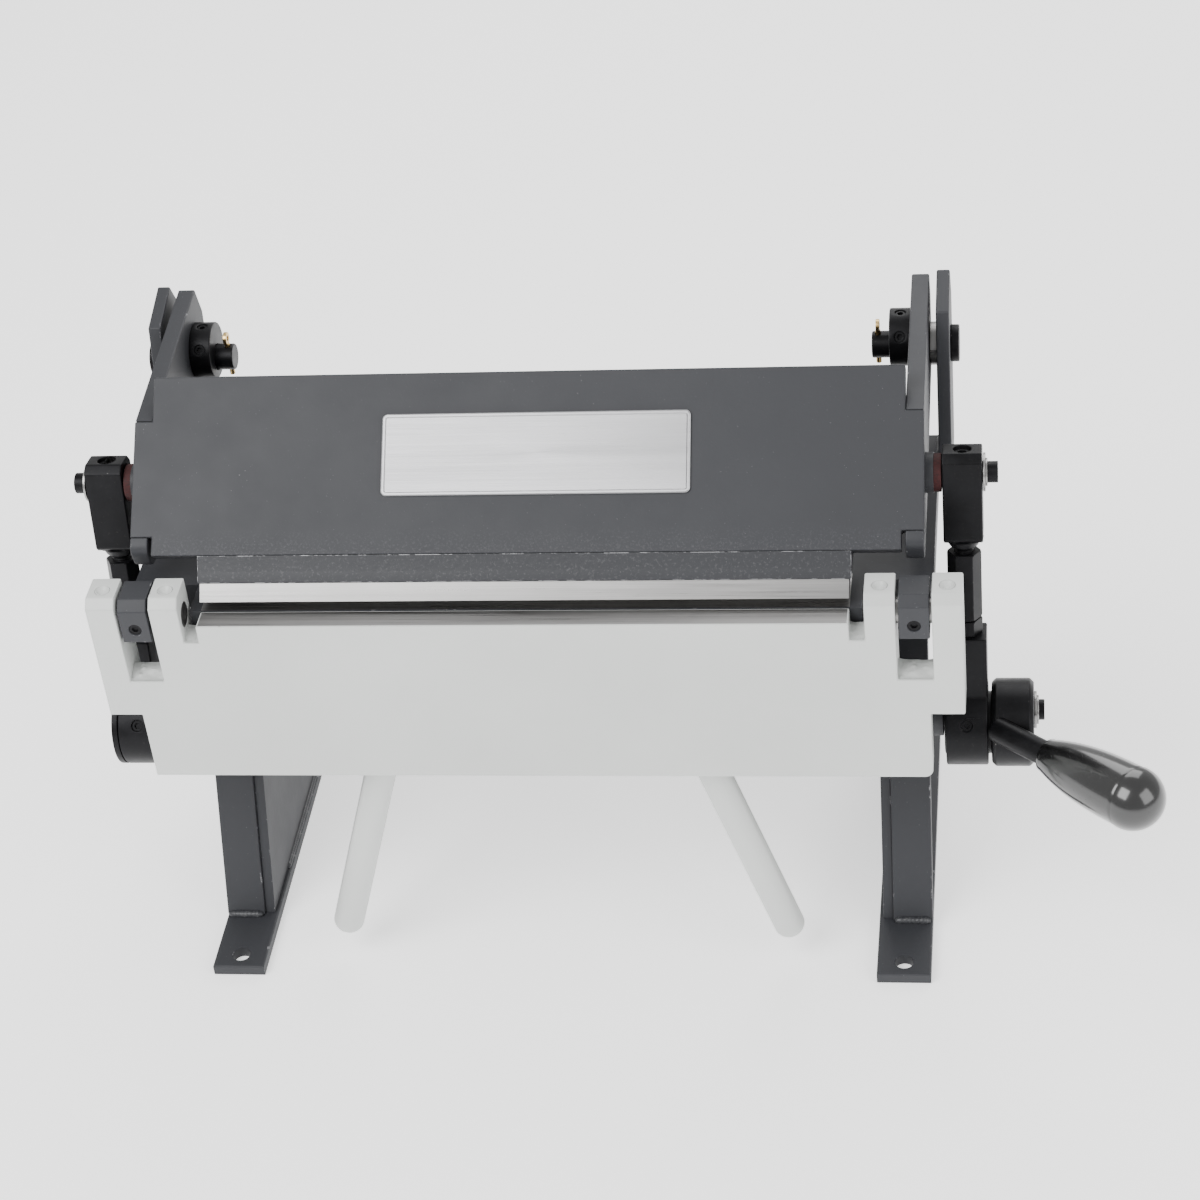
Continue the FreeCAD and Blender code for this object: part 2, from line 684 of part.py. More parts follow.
def clamp_blade():
    gap = dim("blade_gap")
    profile = [
        (dim("blade_y"), gap), (dim("blade_y") + dim("blade_land"), gap),
        (dim("blade_back"), gap + dim("blade_relief")), (dim("blade_back"), dim("blade_top")),
        (dim("blade_top_y"), dim("blade_top"))]
    half = dim("work_half")
    body = slab("blade", profile, -half, 2 * half)
    at_datum(body)
    keep(cut(body, blade_screw_shapes(), "clamp_blade"), "clamp_blade")


def blade_screw_shapes():
    """Countersunk screws, heads up in the underside of the blade."""
    shapes = []
    low = dim("blade_gap") + dim("blade_relief") / 2 + dim("blade_screw_sink")
    length = dim("blade_screw_length")
    for index in range(-2, 3):
        body = new_body("Screw")
        sketch = new_sketch(body, "XY_Plane")
        head, shank = dim("blade_screw_head") / 2, dim("blade_screw") / 2
        outline(sketch, [(0, 0), (0, head), (head - shank, shank), (length, shank), (length, 0)])
        revolve(body, sketch)
        place(body, dim("blade_screw_pitch") * index, FRONT + dim("blade_screw_y"),
              HEIGHT + low, -90, ALONG_Y)
        shapes.append(body)
    return shapes


def beam_arm(name, side):
    thick = dim("plate_thick")
    shoulder, foot = dim("plate_shoulder"), dim("plate_foot")
    profile = [
        on_plate(shoulder), (dim("arm_top_y"), dim("arm_top_z")),
        (dim("arm_back"), dim("arm_shoulder")), (dim("arm_heel_y"), dim("arm_heel_z")),
        (dim("arm_belly_y"), dim("arm_low") + dim("arm_belly_rise")),
        (dim("arm_chin_y"), dim("arm_low")), on_plate(dim("arm_toe")), on_plate(foot),
        on_plate(foot, thick), on_plate(shoulder, thick)]
    throw = dim("pivot_rise") + dim("collar_throw")
    holes = [
        (dim("pivot_back"), throw, dim("collar_boss")),
        (dim("clamp_y"), dim("clamp_z"), dim("clamp_pin"))]
    body = slab(f"beam_arm_{name}", profile, dim("arm_inner"), dim("arm_thick"), side, holes)
    at_datum(body)
    base = body.Tip
    corners = [on_plate(dim("arm_toe")), (dim("arm_chin_y"), dim("arm_low"))]
    dress(body, base, "PartDesign::Fillet", "Radius", dim("arm_nose_round"),
          lambda edge, middle: runs_along(edge, ALONG_X) and any(
              near(middle.y, y.value) and near(middle.z, z.value) for y, z in corners))
    keep(body, f"beam_arm_{name}")


def beam_ribs():
    ribs = []
    lap_y, lap_z = on_plate(dim("nose_lap"), dim("plate_thick"))
    profile = [
        (lap_y, lap_z), on_plate(dim("rib_reach"), dim("plate_thick")), (dim("nose_back"), lap_z)]
    for index in (-1, 0, 1):
        start = dim("rib_pitch") * index - dim("rib_thick") / 2
        rib = slab("Rib", profile, start, dim("rib_thick"))
        at_datum(rib)
        ribs.append(rib)
    group(ribs, "beam_ribs")


def name_plate():
    body = new_body("name_plate")
    place(body, 0, FRONT + dim("plate_y"), HEIGHT + dim("plate_z"), SLOPE)
    sketch = new_sketch(body, "XY_Plane")
    left, low = dim("label_left"), dim("label_low")
    right, high = left + dim("label_width"), low + dim("label_height")
    outline(sketch, [(left, low), (right, low), (right, high), (left, high)])
    base = pad(body, sketch, dim("label_thick"))
    dress(body, base, "PartDesign::Fillet", "Radius", dim("label_corner"),
          lambda edge, middle: runs_along(edge, ALONG_Z))
    keep(body, "name_plate")


def eccentric_collar(name, side):
    """Collar whose boss fills the arm; its bore runs on the pivot pin, off the boss's centre."""
    steps = [
        (dim("collar_start"), dim("arm_inner"), dim("collar_outer") / 2),
        (dim("arm_inner"), dim("arm_inner") + dim("arm_thick"), dim("collar_boss") / 2)]
    body = turned(f"collar_{name}", steps, side)
    y, z = FRONT + dim("pivot_back"), HEIGHT + dim("pivot_rise")
    place(body, 0, y, z + dim("collar_throw"))
    bore = cylinder(
        (dim("collar_start") - 1) * side, y, z, dim("pivot_pin") + 2 * dim("running_fit"), 24,
        "x", side)
    tools = [bore] + collar_screw_shapes(side, False)
    keep(cut(body, tools, f"eccentric_collar_{name}"), f"eccentric_collar_{name}")


def collar_screw_shapes(side, screws):
    """Radial holes of a collar, or the screws in them: one straight up, one to the front."""
    x = (dim("collar_start") + dim("arm_inner")) / 2 * side
    y = FRONT + dim("pivot_back")
    z = HEIGHT + dim("pivot_rise") + dim("collar_throw")
    radius = dim("collar_outer") / 2
    items = []
    for angle in (size(0), dim("collar_screw_turn")):
        if screws:
            item = grub_screw(dim("collar_screw"), dim("collar_screw_length"))
            reach = radius - dim("collar_screw_sink") - dim("collar_screw_length")
        else:
            item = doc.addObject("Part::Cylinder", "RadialHole")
            bind(item, "Radius", dim("collar_screw") / 2)
            bind(item, "Height", radius)
            reach = radius - dim("collar_hole_depth")
        place(item, x, y - reach * sine(angle), z + reach * cosine(angle), angle, ALONG_X)
        items.append(item)
    return items


def collar_screws():
    items = []
    for name, side in SIDES:
        items += collar_screw_shapes(side, True)
    group(items, "collar_screws")


CLAMP_Y = FRONT + dim("clamp_y")
CLAMP_Z = HEIGHT + dim("clamp_z")
BOSS_START = dim("arm_inner") + dim("arm_thick")
FIBRE_START = BOSS_START + dim("boss_length")


def clamp_washer(label, start, length, outer, side):
    """A ring on the clamp pin."""
    disc = turned(label, [(start, start + length, size(outer) / 2)], side)
    place(disc, 0, CLAMP_Y, CLAMP_Z)
    hole = cylinder(
        (start - 1) * side, CLAMP_Y, CLAMP_Z, dim("clamp_pin"), length + 2, "x", side)
    return cut(disc, [hole], f"bored_{label}")


def clamp_pins_and_rings():
    pins, bosses, fibres, clips = [], [], [], []
    for name, side in SIDES:
        pin = turned(f"clamp_pin_{name}", [
            (dim("arm_inner") + dim("clamp_pin_bury"), dim("clamp_pin_end"),
             dim("clamp_pin") / 2)], side)
        place(pin, 0, CLAMP_Y, CLAMP_Z)
        pins.append(pin)
        bosses.append(clamp_washer(
            f"boss_{name}", BOSS_START, dim("boss_length"), dim("boss_outer"), side))
        fibres.append(clamp_washer(
            f"fibre_{name}", FIBRE_START, dim("fibre_length"), dim("fibre_outer"), side))
        start = dim("link_inner") + dim("link_width") + dim("clip_gap")
        clips.append(clamp_washer(
            f"flat_{name}", start, dim("clip_washer"), dim("fibre_outer"), side))
        clips.append(clamp_washer(
            f"clip_{name}", start + dim("clip_washer"), dim("clip_thick"), dim("clip_outer"),
            side))
    group(pins, "clamp_pins")
    group(bosses, "clamp_bosses")
    group(fibres, "fibre_washers")
    group(clips, "clamp_pin_clips")


# ---------------------------------------------------------------- links from the beam to the shaft

LINK_RISE = dim("clamp_z") - dim("cam_z")
LINK_RUN = dim("clamp_y") - dim("cam_y")
LINK_TILT = math.degrees(math.atan2(LINK_RUN.value, LINK_RISE.value))
LINK_LENGTH = math.hypot(LINK_RUN.value, LINK_RISE.value)
LINK_MIDDLE = dim("link_inner") + dim("link_width") / 2
SHAFT_TURN = size(LINK_TILT) + dim("cam_turn")
SHAFT_Y = dim("cam_y") + dim("cam_throw") * sine(SHAFT_TURN)
SHAFT_Z = dim("cam_z") + dim("cam_throw") * cosine(SHAFT_TURN)
FLANGE_START = dim("eye_inner") + dim("eye_width") + dim("eye_gap")


def in_link(obj, x=0, y=0, z=0):
    """Place an object in the link's own frame: from the clamp pin, Z up along the link."""
    tilt = size(LINK_TILT)
    global_y = CLAMP_Y + size(y) * cosine(tilt) + size(z) * sine(tilt)
    global_z = CLAMP_Z - size(y) * sine(tilt) + size(z) * cosine(tilt)
    place(obj, x, global_y, global_z, -tilt)


def link_block(name, side):
    body = new_body(f"head_{name}")
    start = dim("link_inner") if side > 0 else -(dim("link_inner") + dim("link_width"))
    half, top, low = dim("link_depth") / 2, dim("link_top"), -dim("link_low")
    bevel, foot = dim("link_bevel"), dim("link_foot_bevel")
    sketch = new_sketch(body, "YZ_Plane", start)
    outline(sketch, [
        (-half, low + foot), (foot - half, low), (half - foot, low), (half, low + foot),
        (half, top - bevel), (half - bevel, top), (bevel - half, top), (-half, top - bevel)])
    ring(sketch, 0, 0, dim("clamp_pin") + 2 * dim("running_fit"))
    pad(body, sketch, dim("link_width"))
    in_link(body)
    neck = doc.addObject("Part::Cone", "Neck")
    bind(neck, "Radius1", dim("link_neck") / 2 - dim("link_neck_flare"))
    bind(neck, "Radius2", dim("link_neck") / 2 + dim("link_neck_flare"))
    bind(neck, "Height", dim("link_neck_length"))
    in_link(neck, LINK_MIDDLE * side, 0, low - dim("link_neck_length"))
    joined = doc.addObject("Part::Fuse", f"forged_{name}")
    joined.Base = body
    joined.Tool = neck
    hole = doc.addObject("Part::Cylinder", "TopHole")
    bind(hole, "Radius", dim("link_screw") / 2)
    bind(hole, "Height", dim("link_top"))
    in_link(hole, LINK_MIDDLE * side, 0, dim("link_hole_seat"))
    keep(cut(joined, [hole], f"link_block_{name}"), f"link_block_{name}")


def link_screws(name, side):
    """The screw in the top of the block and the one in the front of the eye."""
    top = grub_screw(dim("link_screw"), dim("link_screw_length"))
    in_link(top, LINK_MIDDLE * side, 0, dim("link_screw_seat"))
    front = grub_screw(dim("eye_screw"), dim("eye_screw_length"))
    turn = dim("eye_screw_turn")
    reach = dim("eye_bore") / 2 + dim("eye_screw_seat")
    place(front, LINK_MIDDLE * side, FRONT + dim("cam_y") - reach * sine(turn),
          HEIGHT + dim("cam_z") + reach * cosine(turn), turn)
    group([top, front], f"link_screws_{name}")


def link_studs(name, side):
    studs = []
    neck_end = dim("link_low") + dim("link_neck_length")
    for start, end in (
            (neck_end, dim("upper_stud_end")), (dim("lower_stud_start"), dim("jam_low"))):
        stud = doc.addObject("Part::Cylinder", "Stud")
        bind(stud, "Radius", dim("stud") / 2)
        bind(stud, "Height", size(end) - size(start))
        in_link(stud, LINK_MIDDLE * side, 0, -size(end))
        studs.append(stud)
    group(studs, f"link_studs_{name}")


def hex_nut(label, top, low, bore, side):
    prism = hex_prism(dim("hex_flats"), size(low) - size(top))
    in_link(prism, LINK_MIDDLE * side, 0, -size(low))
    limits = doc.addObject("Part::Cone", "CornerCone")
    length = size(low) - size(top)
    tip = dim("hex_flats") / cosine(size(30)) / 2 - dim("hex_bevel")
    bind(limits, "Radius1", tip)
    bind(limits, "Radius2", tip + length)
    bind(limits, "Height", length)
    in_link(limits, LINK_MIDDLE * side, 0, -size(low))
    lower = doc.addObject("Part::Common", "LowerBevel")
    lower.Base = prism
    lower.Tool = limits
    upper_cone = doc.addObject("Part::Cone", "UpperCone")
    bind(upper_cone, "Radius1", tip + length)
    bind(upper_cone, "Radius2", tip)
    bind(upper_cone, "Height", length)
    in_link(upper_cone, LINK_MIDDLE * side, 0, -size(low))
    bevelled = doc.addObject("Part::Common", "UpperBevel")
    bevelled.Base = lower
    bevelled.Tool = upper_cone
    hole = doc.addObject("Part::Cylinder", "ThreadBore")
    bind(hole, "Radius", size(bore) / 2)
    bind(hole, "Height", length + 2)
    in_link(hole, LINK_MIDDLE * side, 0, -size(low) - 1)
    keep(cut(bevelled, [hole], label), label)


def link_eye(name, side):
    """Square rod with the round eye that runs on the eccentric."""
    body = new_body(f"eye_{name}")
    width = dim("eye_width")
    rod_width = dim("eye_inner") + width - dim("link_inner")
    rod_start = dim("link_inner") if side > 0 else -(dim("link_inner") + rod_width)
    half = dim("link_depth") / 2
    centre = -size(LINK_LENGTH)
    sketch = new_sketch(body, "YZ_Plane", rod_start)
    top = -dim("jam_low")
    outline(sketch, [(-half, centre), (half, centre), (half, top), (-half, top)])
    pad(body, sketch, rod_width)
    eye_start = dim("eye_inner") if side > 0 else -(dim("eye_inner") + width)
    disc = new_sketch(body, "YZ_Plane", eye_start)
    ring(disc, 0, centre, dim("eye_outer"))
    pad(body, disc, width)
    in_link(body)
    y, z = FRONT + dim("cam_y"), HEIGHT + dim("cam_z")
    bore = cylinder(
        (dim("eye_inner") - 2) * side, y, z, dim("eye_bore"), width + 4, "x", side)
    screw_hole = doc.addObject("Part::Cylinder", "ScrewHole")
    bind(screw_hole, "Radius", dim("eye_screw") / 2)
    bind(screw_hole, "Height", dim("eye_outer"))
    place(screw_hole, LINK_MIDDLE * side, y, z, dim("eye_screw_turn"))
    keep(cut(body, [bore, screw_hole], f"link_eye_{name}"), f"link_eye_{name}")


# ---------------------------------------------------------------- cross shaft and hand lever

def cross_shaft():
    steps = [
        (-(FLANGE_START + dim("flange_thick")), dim("hub_start"), dim("shaft") / 2),
        (dim("hub_start"), dim("shaft_tip"), dim("shaft_end") / 2)]
    body = turned("cross_shaft", steps)
    place(body, 0, FRONT + SHAFT_Y, HEIGHT + SHAFT_Z)
    keep(body, "cross_shaft")


def eccentric(name, side):
    """Disc on the shaft, off its centre; the left one ends in a flange."""
    radius = dim("cam_diameter") / 2
    start = dim("cam_start")
    if side > 0:
        steps = [(start, dim("hub_start"), radius)]
    else:
        steps = [
            (start, FLANGE_START, radius),
            (FLANGE_START, FLANGE_START + dim("flange_thick"), dim("eye_outer") / 2)]
    disc = turned(f"disc_{name}", steps, side)
    place(disc, 0, FRONT + dim("cam_y"), HEIGHT + dim("cam_z"))
    hole = cylinder(
        (start - 1) * side, FRONT + SHAFT_Y, HEIGHT + SHAFT_Z, dim("shaft"),
        dim("hub_start") - start + 4, "x", side)
    keep(cut(disc, [hole], f"eccentric_{name}"), f"eccentric_{name}")


def lever_frame():
    """Where the lever leaves the front of the hub, and its direction: out, forwards and up."""
    seat = math.radians(DIMENSIONS["lever_seat"])
    spoke = FreeCAD.Vector(0, -math.cos(seat), math.sin(seat))
    middle = FreeCAD.Vector(
        DIMENSIONS["lever_x"], (FRONT + dim("cam_y")).value, (HEIGHT + dim("cam_z")).value)
    direction = FreeCAD.Vector(
        DIMENSIONS["lever_out"], -DIMENSIONS["lever_forward"], DIMENSIONS["lever_rise"])
    return middle + spoke * (DIMENSIONS["hub_diameter"] / 2), direction.normalize()


def along_lever(obj, distance):
    start, direction = lever_frame()
    rotation = FreeCAD.Rotation(FreeCAD.Vector(0, 0, 1), direction)
    obj.Placement = FreeCAD.Placement(start + direction * distance, rotation)


def lever_bar():
    """The straight bar of the lever, for the rod itself and for the holes that take it."""
    item = doc.addObject("Part::Cylinder", "LeverBar")
    bind(item, "Radius", dim("lever_rod") / 2)
    bind(item, "Height", dim("lever_rod_end") + dim("lever_bury"))
    along_lever(item, -DIMENSIONS["lever_bury"])
    return item


def lever_hub():
    body = turned("hub", [
        (dim("hub_start"), dim("hub_start") + dim("hub_width"), dim("hub_diameter") / 2)])
    place(body, 0, FRONT + dim("cam_y"), HEIGHT + dim("cam_z"))
    radius = DIMENSIONS["hub_diameter"] / 2
    dress(body, body.Tip, "PartDesign::Chamfer", "Size", dim("hub_bevel"),
          lambda edge, middle: near(math.hypot(middle.y, middle.z), radius)
          and not runs_along(edge, ALONG_X))
    shaft_hole = cylinder(
        dim("hub_start") - 1, FRONT + SHAFT_Y, HEIGHT + SHAFT_Z, dim("shaft_end"),
        dim("hub_width") + 4, "x")
    keep(cut(body, [shaft_hole, lever_bar()], "lever_hub"), "lever_hub")


def lever_rod():
    keep(lever_bar(), "lever_rod")


def lever_grip():
    """Ball-ended grip, slimmer at the neck."""
    body = new_body("grip")
    sketch = new_sketch(body, "XZ_Plane")
    length = dim("grip_length")
    radius, neck = dim("grip_diameter") / 2, dim("grip_neck") / 2
    lip, step = dim("grip_lip"), dim("grip_swell_step")
    points = [
        (0, 0), (neck - lip, 0), (neck, lip), (neck + lip, dim("grip_neck_end")),
        (radius - step, dim("grip_swell")), (radius, length - radius)]
    for turn in (22.5, 45, 67.5):
        angle = size(turn)
        points.append((radius * cosine(angle), length - radius + radius * sine(angle)))
    points.append((0, length))
    outline(sketch, points)
    feature = body.newObject("PartDesign::Revolution", "Turned")
    feature.Profile = sketch
    feature.ReferenceAxis = (sketch, ["V_Axis"])
    feature.Angle = 360
    along_lever(body, DIMENSIONS["grip_start"])
    keep(cut(body, [lever_bar()], "lever_grip"), "lever_grip")


def lever_clip():
    """Washer and spring clip on the end of the shaft."""
    items = []
    start = dim("hub_start") + dim("hub_width")
    washer = dim("shaft_clip_gap") + dim("shaft_washer_thick")
    rings = (("washer", dim("shaft_clip_gap"), washer, dim("shaft_washer")),
             ("clip", washer, washer + dim("shaft_clip_thick"), dim("shaft_clip")))
    for label, first, last, outer in rings:
        disc = turned(label, [(start + first, start + last, outer / 2)])
        place(disc, 0, FRONT + SHAFT_Y, HEIGHT + SHAFT_Z)
        hole = cylinder(
            start, FRONT + SHAFT_Y, HEIGHT + SHAFT_Z, dim("shaft_end"), last + 1, "x")
        items.append(cut(disc, [hole], f"bored_{label}"))
    group(items, "shaft_clip")


# ---------------------------------------------------------------- the whole machine

bed_plate()
cross_bar("bed_front_bar", dim("bed_front") + 1.6, dim("bar_thick"), dim("bar_drop"),
          dim("bed_neck_half"))
cross_bar("rear_cross_bar", dim("tie_back") - dim("tie_thick"), dim("tie_thick"),
          dim("tie_drop"), dim("web_inner"))
hinge_block_screws()
pivot_pins()
split_pins()
pivot_spacers()
apron_plate()
ear_screws()
hinge_pins()
beam_plate()
nose_bar()
clamp_blade()
group(blade_screw_shapes(), "blade_screws")
beam_ribs()
name_plate()
collar_screws()
clamp_pins_and_rings()
cross_shaft()
lever_hub()
lever_rod()
lever_grip()
lever_clip()
for side_name, side_sign in SIDES:
    foot_bar(side_name, side_sign)
    leg_bar(side_name, side_sign)
    side_plate(side_name, side_sign)
    hinge_block(side_name, side_sign)
    rear_upright(side_name, side_sign)
    shaft_bearing(side_name, side_sign)
    ear_block(side_name, side_sign)
    handle_rod(side_name, side_sign)
    beam_arm(side_name, side_sign)
    eccentric_collar(side_name, side_sign)
    link_block(side_name, side_sign)
    link_screws(side_name, side_sign)
    link_studs(side_name, side_sign)
    hex_nut(f"adjuster_{side_name}", dim("hex_top"), dim("hex_low"),
            dim("stud") + 2 * dim("running_fit"), side_sign)
    hex_nut(f"jam_nut_{side_name}", dim("jam_top"), dim("jam_low"), dim("stud"), side_sign)
    link_eye(side_name, side_sign)
    eccentric(side_name, side_sign)

doc.recompute()
for item in doc.Objects:
    if "Invalid" in item.State or "Error" in item.State:
        raise RuntimeError(f"{item.Name} ({item.Label}) failed: {item.State}")
for node in nodes:
    if node.Shape.isNull() or not node.Shape.isValid():
        raise RuntimeError(f"{node.Label} has no valid shape")

os.makedirs("parts", exist_ok=True)
for node in nodes:
    node.Shape.exportStep(f"parts/{node.Label}.step")
    print(f"{node.Label:24s} {len(node.Shape.Solids)} solids {node.Shape.Volume / 1000:9.2f} cm3")
print(len(nodes), "nodes")
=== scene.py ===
import json
import math

import bmesh
import bpy
from mathutils import Matrix, Vector, noise


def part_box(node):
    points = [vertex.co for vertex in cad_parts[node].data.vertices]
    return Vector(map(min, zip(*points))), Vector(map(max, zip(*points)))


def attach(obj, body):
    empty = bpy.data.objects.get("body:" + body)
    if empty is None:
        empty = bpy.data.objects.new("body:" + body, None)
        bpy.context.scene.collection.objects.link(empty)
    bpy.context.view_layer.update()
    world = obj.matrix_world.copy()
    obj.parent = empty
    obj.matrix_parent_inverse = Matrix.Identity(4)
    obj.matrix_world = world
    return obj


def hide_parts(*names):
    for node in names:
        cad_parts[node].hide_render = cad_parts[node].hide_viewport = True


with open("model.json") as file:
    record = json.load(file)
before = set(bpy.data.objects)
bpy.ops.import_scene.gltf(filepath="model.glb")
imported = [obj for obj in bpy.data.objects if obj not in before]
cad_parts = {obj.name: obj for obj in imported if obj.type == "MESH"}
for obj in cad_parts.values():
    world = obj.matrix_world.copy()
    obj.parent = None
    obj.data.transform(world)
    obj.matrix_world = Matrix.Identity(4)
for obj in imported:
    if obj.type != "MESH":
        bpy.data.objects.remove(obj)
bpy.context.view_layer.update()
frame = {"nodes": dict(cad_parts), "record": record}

# Looks of a bench-top sheet metal brake. Lengths are in metres; small ones are given in MM.
# Every CAD node is replaced by a copy with rounded edges, and the welds, threads, grip and name
# plate that the solids leave plain are built here.

MM = 0.001
RECORD = frame["record"]
SIDES = (("left", -1), ("right", 1))
BODY_OF = {}
for body_name, members in RECORD["behaviour"]["bodies"].items():
    for member in members:
        BODY_OF[member] = body_name
SLOT_OF = {entry["node"]: entry["material_slot"] for entry in RECORD["subparts"]}
JOINTS = {joint["name"]: joint for joint in RECORD["behaviour"]["joints"]}

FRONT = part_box("apron_plate")[0].y         # front face of the apron
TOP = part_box("apron_plate")[1].z           # working height: top of apron and bed
WORK_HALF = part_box("clamp_blade")[1].x     # half the working length


# ---------------------------------------------------------------- materials

class Look:
    """A procedural material, with short calls for the nodes it is made of."""

    def __init__(self, name, metallic=0.0, specular=0.5, coat=0.0, coat_roughness=0.1, anisotropy=0.0):
        self.material = bpy.data.materials.new(name)
        self.material.use_nodes = True
        self.nodes = self.material.node_tree.nodes
        self.links = self.material.node_tree.links
        self.shader = self.nodes["Principled BSDF"]
        self.shader.inputs["Metallic"].default_value = metallic
        self.shader.inputs["Specular IOR Level"].default_value = specular
        self.shader.inputs["Coat Weight"].default_value = coat
        self.shader.inputs["Coat Roughness"].default_value = coat_roughness
        self.shader.inputs["Anisotropic"].default_value = anisotropy
        self.place = self.nodes.new("ShaderNodeTexCoord").outputs["Object"]

    def stretched(self, scale):
        mapping = self.nodes.new("ShaderNodeMapping")
        mapping.inputs["Scale"].default_value = scale
        self.links.new(self.place, mapping.inputs["Vector"])
        return mapping.outputs["Vector"]

    def noise(self, scale, detail=3.0, rough=0.55, place=None):
        node = self.nodes.new("ShaderNodeTexNoise")
        node.inputs["Scale"].default_value = scale
        node.inputs["Detail"].default_value = detail
        node.inputs["Roughness"].default_value = rough
        self.links.new(place or self.place, node.inputs["Vector"])
        return node.outputs["Fac"]

    def height(self):
        split = self.nodes.new("ShaderNodeSeparateXYZ")
        self.links.new(self.place, split.inputs["Vector"])
        return split.outputs["Z"]

    def attribute(self, name):
        node = self.nodes.new("ShaderNodeAttribute")
        node.attribute_name = name
        return node.outputs["Fac"]

    def span(self, value, low, high, to_low=0.0, to_high=1.0):
        node = self.nodes.new("ShaderNodeMapRange")
        node.inputs["From Min"].default_value = low
        node.inputs["From Max"].default_value = high
        node.inputs["To Min"].default_value = to_low
        node.inputs["To Max"].default_value = to_high
        self.links.new(value, node.inputs["Value"])
        return node.outputs["Result"]

    def math(self, operation, first, second):
        node = self.nodes.new("ShaderNodeMath")
        node.operation = operation
        for socket, value in zip(node.inputs, (first, second)):
            if isinstance(value, (int, float)):
                socket.default_value = value
            else:
                self.links.new(value, socket)
        return node.outputs["Value"]

    def mix(self, amount, first, second):
        node = self.nodes.new("ShaderNodeMix")
        node.data_type = "RGBA"
        self.links.new(amount, node.inputs["Factor"])
        for name, value in (("A", first), ("B", second)):
            socket = [item for item in node.inputs if item.name == name and item.type == "RGBA"][0]
            if isinstance(value, tuple):
                socket.default_value = (*value, 1.0)
            else:
                self.links.new(value, socket)
        return [item for item in node.outputs if item.type == "RGBA"][0]

    def set(self, name, value):
        self.links.new(value, self.shader.inputs[name])

    def bump(self, layers):
        """Bump from (height, distance in metres, strength) layers, one over the other."""
        normal = None
        for height, distance, strength in layers:
            node = self.nodes.new("ShaderNodeBump")
            node.inputs["Distance"].default_value = distance
            node.inputs["Strength"].default_value = strength
            self.links.new(height, node.inputs["Height"])
            if normal is not None:
                self.links.new(normal, node.inputs["Normal"])
            normal = node.outputs["Normal"]
        self.set("Normal", normal)


def shade(colour, factor):
    return tuple(channel * factor for channel in colour)


def painted(name, colour, bare, peel=0.35, roughness=0.42, specks=0.74, wear=0.5, grit=0.0,
            specular=0.5, band=None):
    """Enamel over steel: orange peel, small light specks, and wear on the rounded edges.

    A band of heights, the most spoilt first, has scraped spots. Scales are cells per metre.
    """
    cloud_scale, peel_scale, speck_scale, patch_scale, scuff_scale = 9, 420, 1150, 38, 170
    grit_scale, scrape_scale, gloss_scale, grain_scale = 760, 900, 55, 1800
    peel_height, grain_height = 0.12 * MM, 0.04 * MM
    look = Look(name, specular=specular)
    broad = look.noise(cloud_scale, 4)
    fine = look.noise(peel_scale, 2)
    colour_now = look.mix(look.span(broad, 0.3, 0.7), shade(colour, 0.95), shade(colour, 1.05))
    speck = look.span(look.noise(speck_scale, 1.5, 0.6), specks, specks + 0.03)
    patch = look.span(look.noise(patch_scale, 5, 0.65), 0.52, 0.66)
    speck_area = look.math("MULTIPLY", speck, look.span(patch, 0, 1, 0.45, 1.0))
    colour_now = look.mix(speck_area, colour_now, shade(bare, 0.75))
    edge = look.attribute("edge")
    scuff = look.span(look.noise(scuff_scale, 6, 0.7), 1 - wear, 1.06 - wear)
    worn = look.math("MULTIPLY", edge, scuff)
    if grit:
        rough_spots = look.span(look.noise(grit_scale, 3, 0.7), 0.56, 0.66)
        worn = look.math("MAXIMUM", worn, look.math("MULTIPLY", rough_spots, grit))
    if band:
        scraped = look.span(look.noise(scrape_scale, 5, 0.75), 0.52, 0.70)
        amount = look.span(look.height(), band[0], band[1], 0.34, 0.0)
        worn = look.math("MAXIMUM", worn, look.math("MULTIPLY", scraped, amount))
    look.set("Base Color", look.mix(worn, colour_now, bare))
    look.set("Metallic", look.math("MULTIPLY", worn, 0.7))
    gloss = look.noise(gloss_scale, 4)
    look.set("Roughness", look.span(gloss, 0.25, 0.75, roughness - 0.03, roughness + 0.04))
    look.bump([(fine, peel_height, peel), (look.noise(grain_scale, 2), grain_height, 0.3 + grit)])
    return look.material


def brushed(name, colour, roughness=0.3, along=(14, 1500, 1500), stain=0.12):
    """Ground metal with fine lines along its length and faint stains."""
    stain_scale, line_depth = 30, 0.03 * MM
    look = Look(name, metallic=1.0, anisotropy=0.4)
    lines = look.noise(1.0, 4, 0.6, look.stretched(along))
    wide = look.noise(1.0, 3, 0.6, look.stretched(tuple(value * 0.12 for value in along)))
    cloud = look.span(look.noise(stain_scale, 5, 0.6), 0.42, 0.72)
    ground = look.mix(look.span(lines, 0.25, 0.75), shade(colour, 0.80), shade(colour, 1.12))
    ground = look.mix(look.span(wide, 0.3, 0.7, 0.0, 0.35), ground, shade(colour, 0.72))
    stained = look.math("MULTIPLY", cloud, stain)
    look.set("Base Color", look.mix(stained, ground, shade(colour, 0.35)))
    look.set("Roughness", look.span(lines, 0.2, 0.8, roughness - 0.08, roughness + 0.14))
    look.bump([(lines, line_depth, 0.35)])
    return look.material


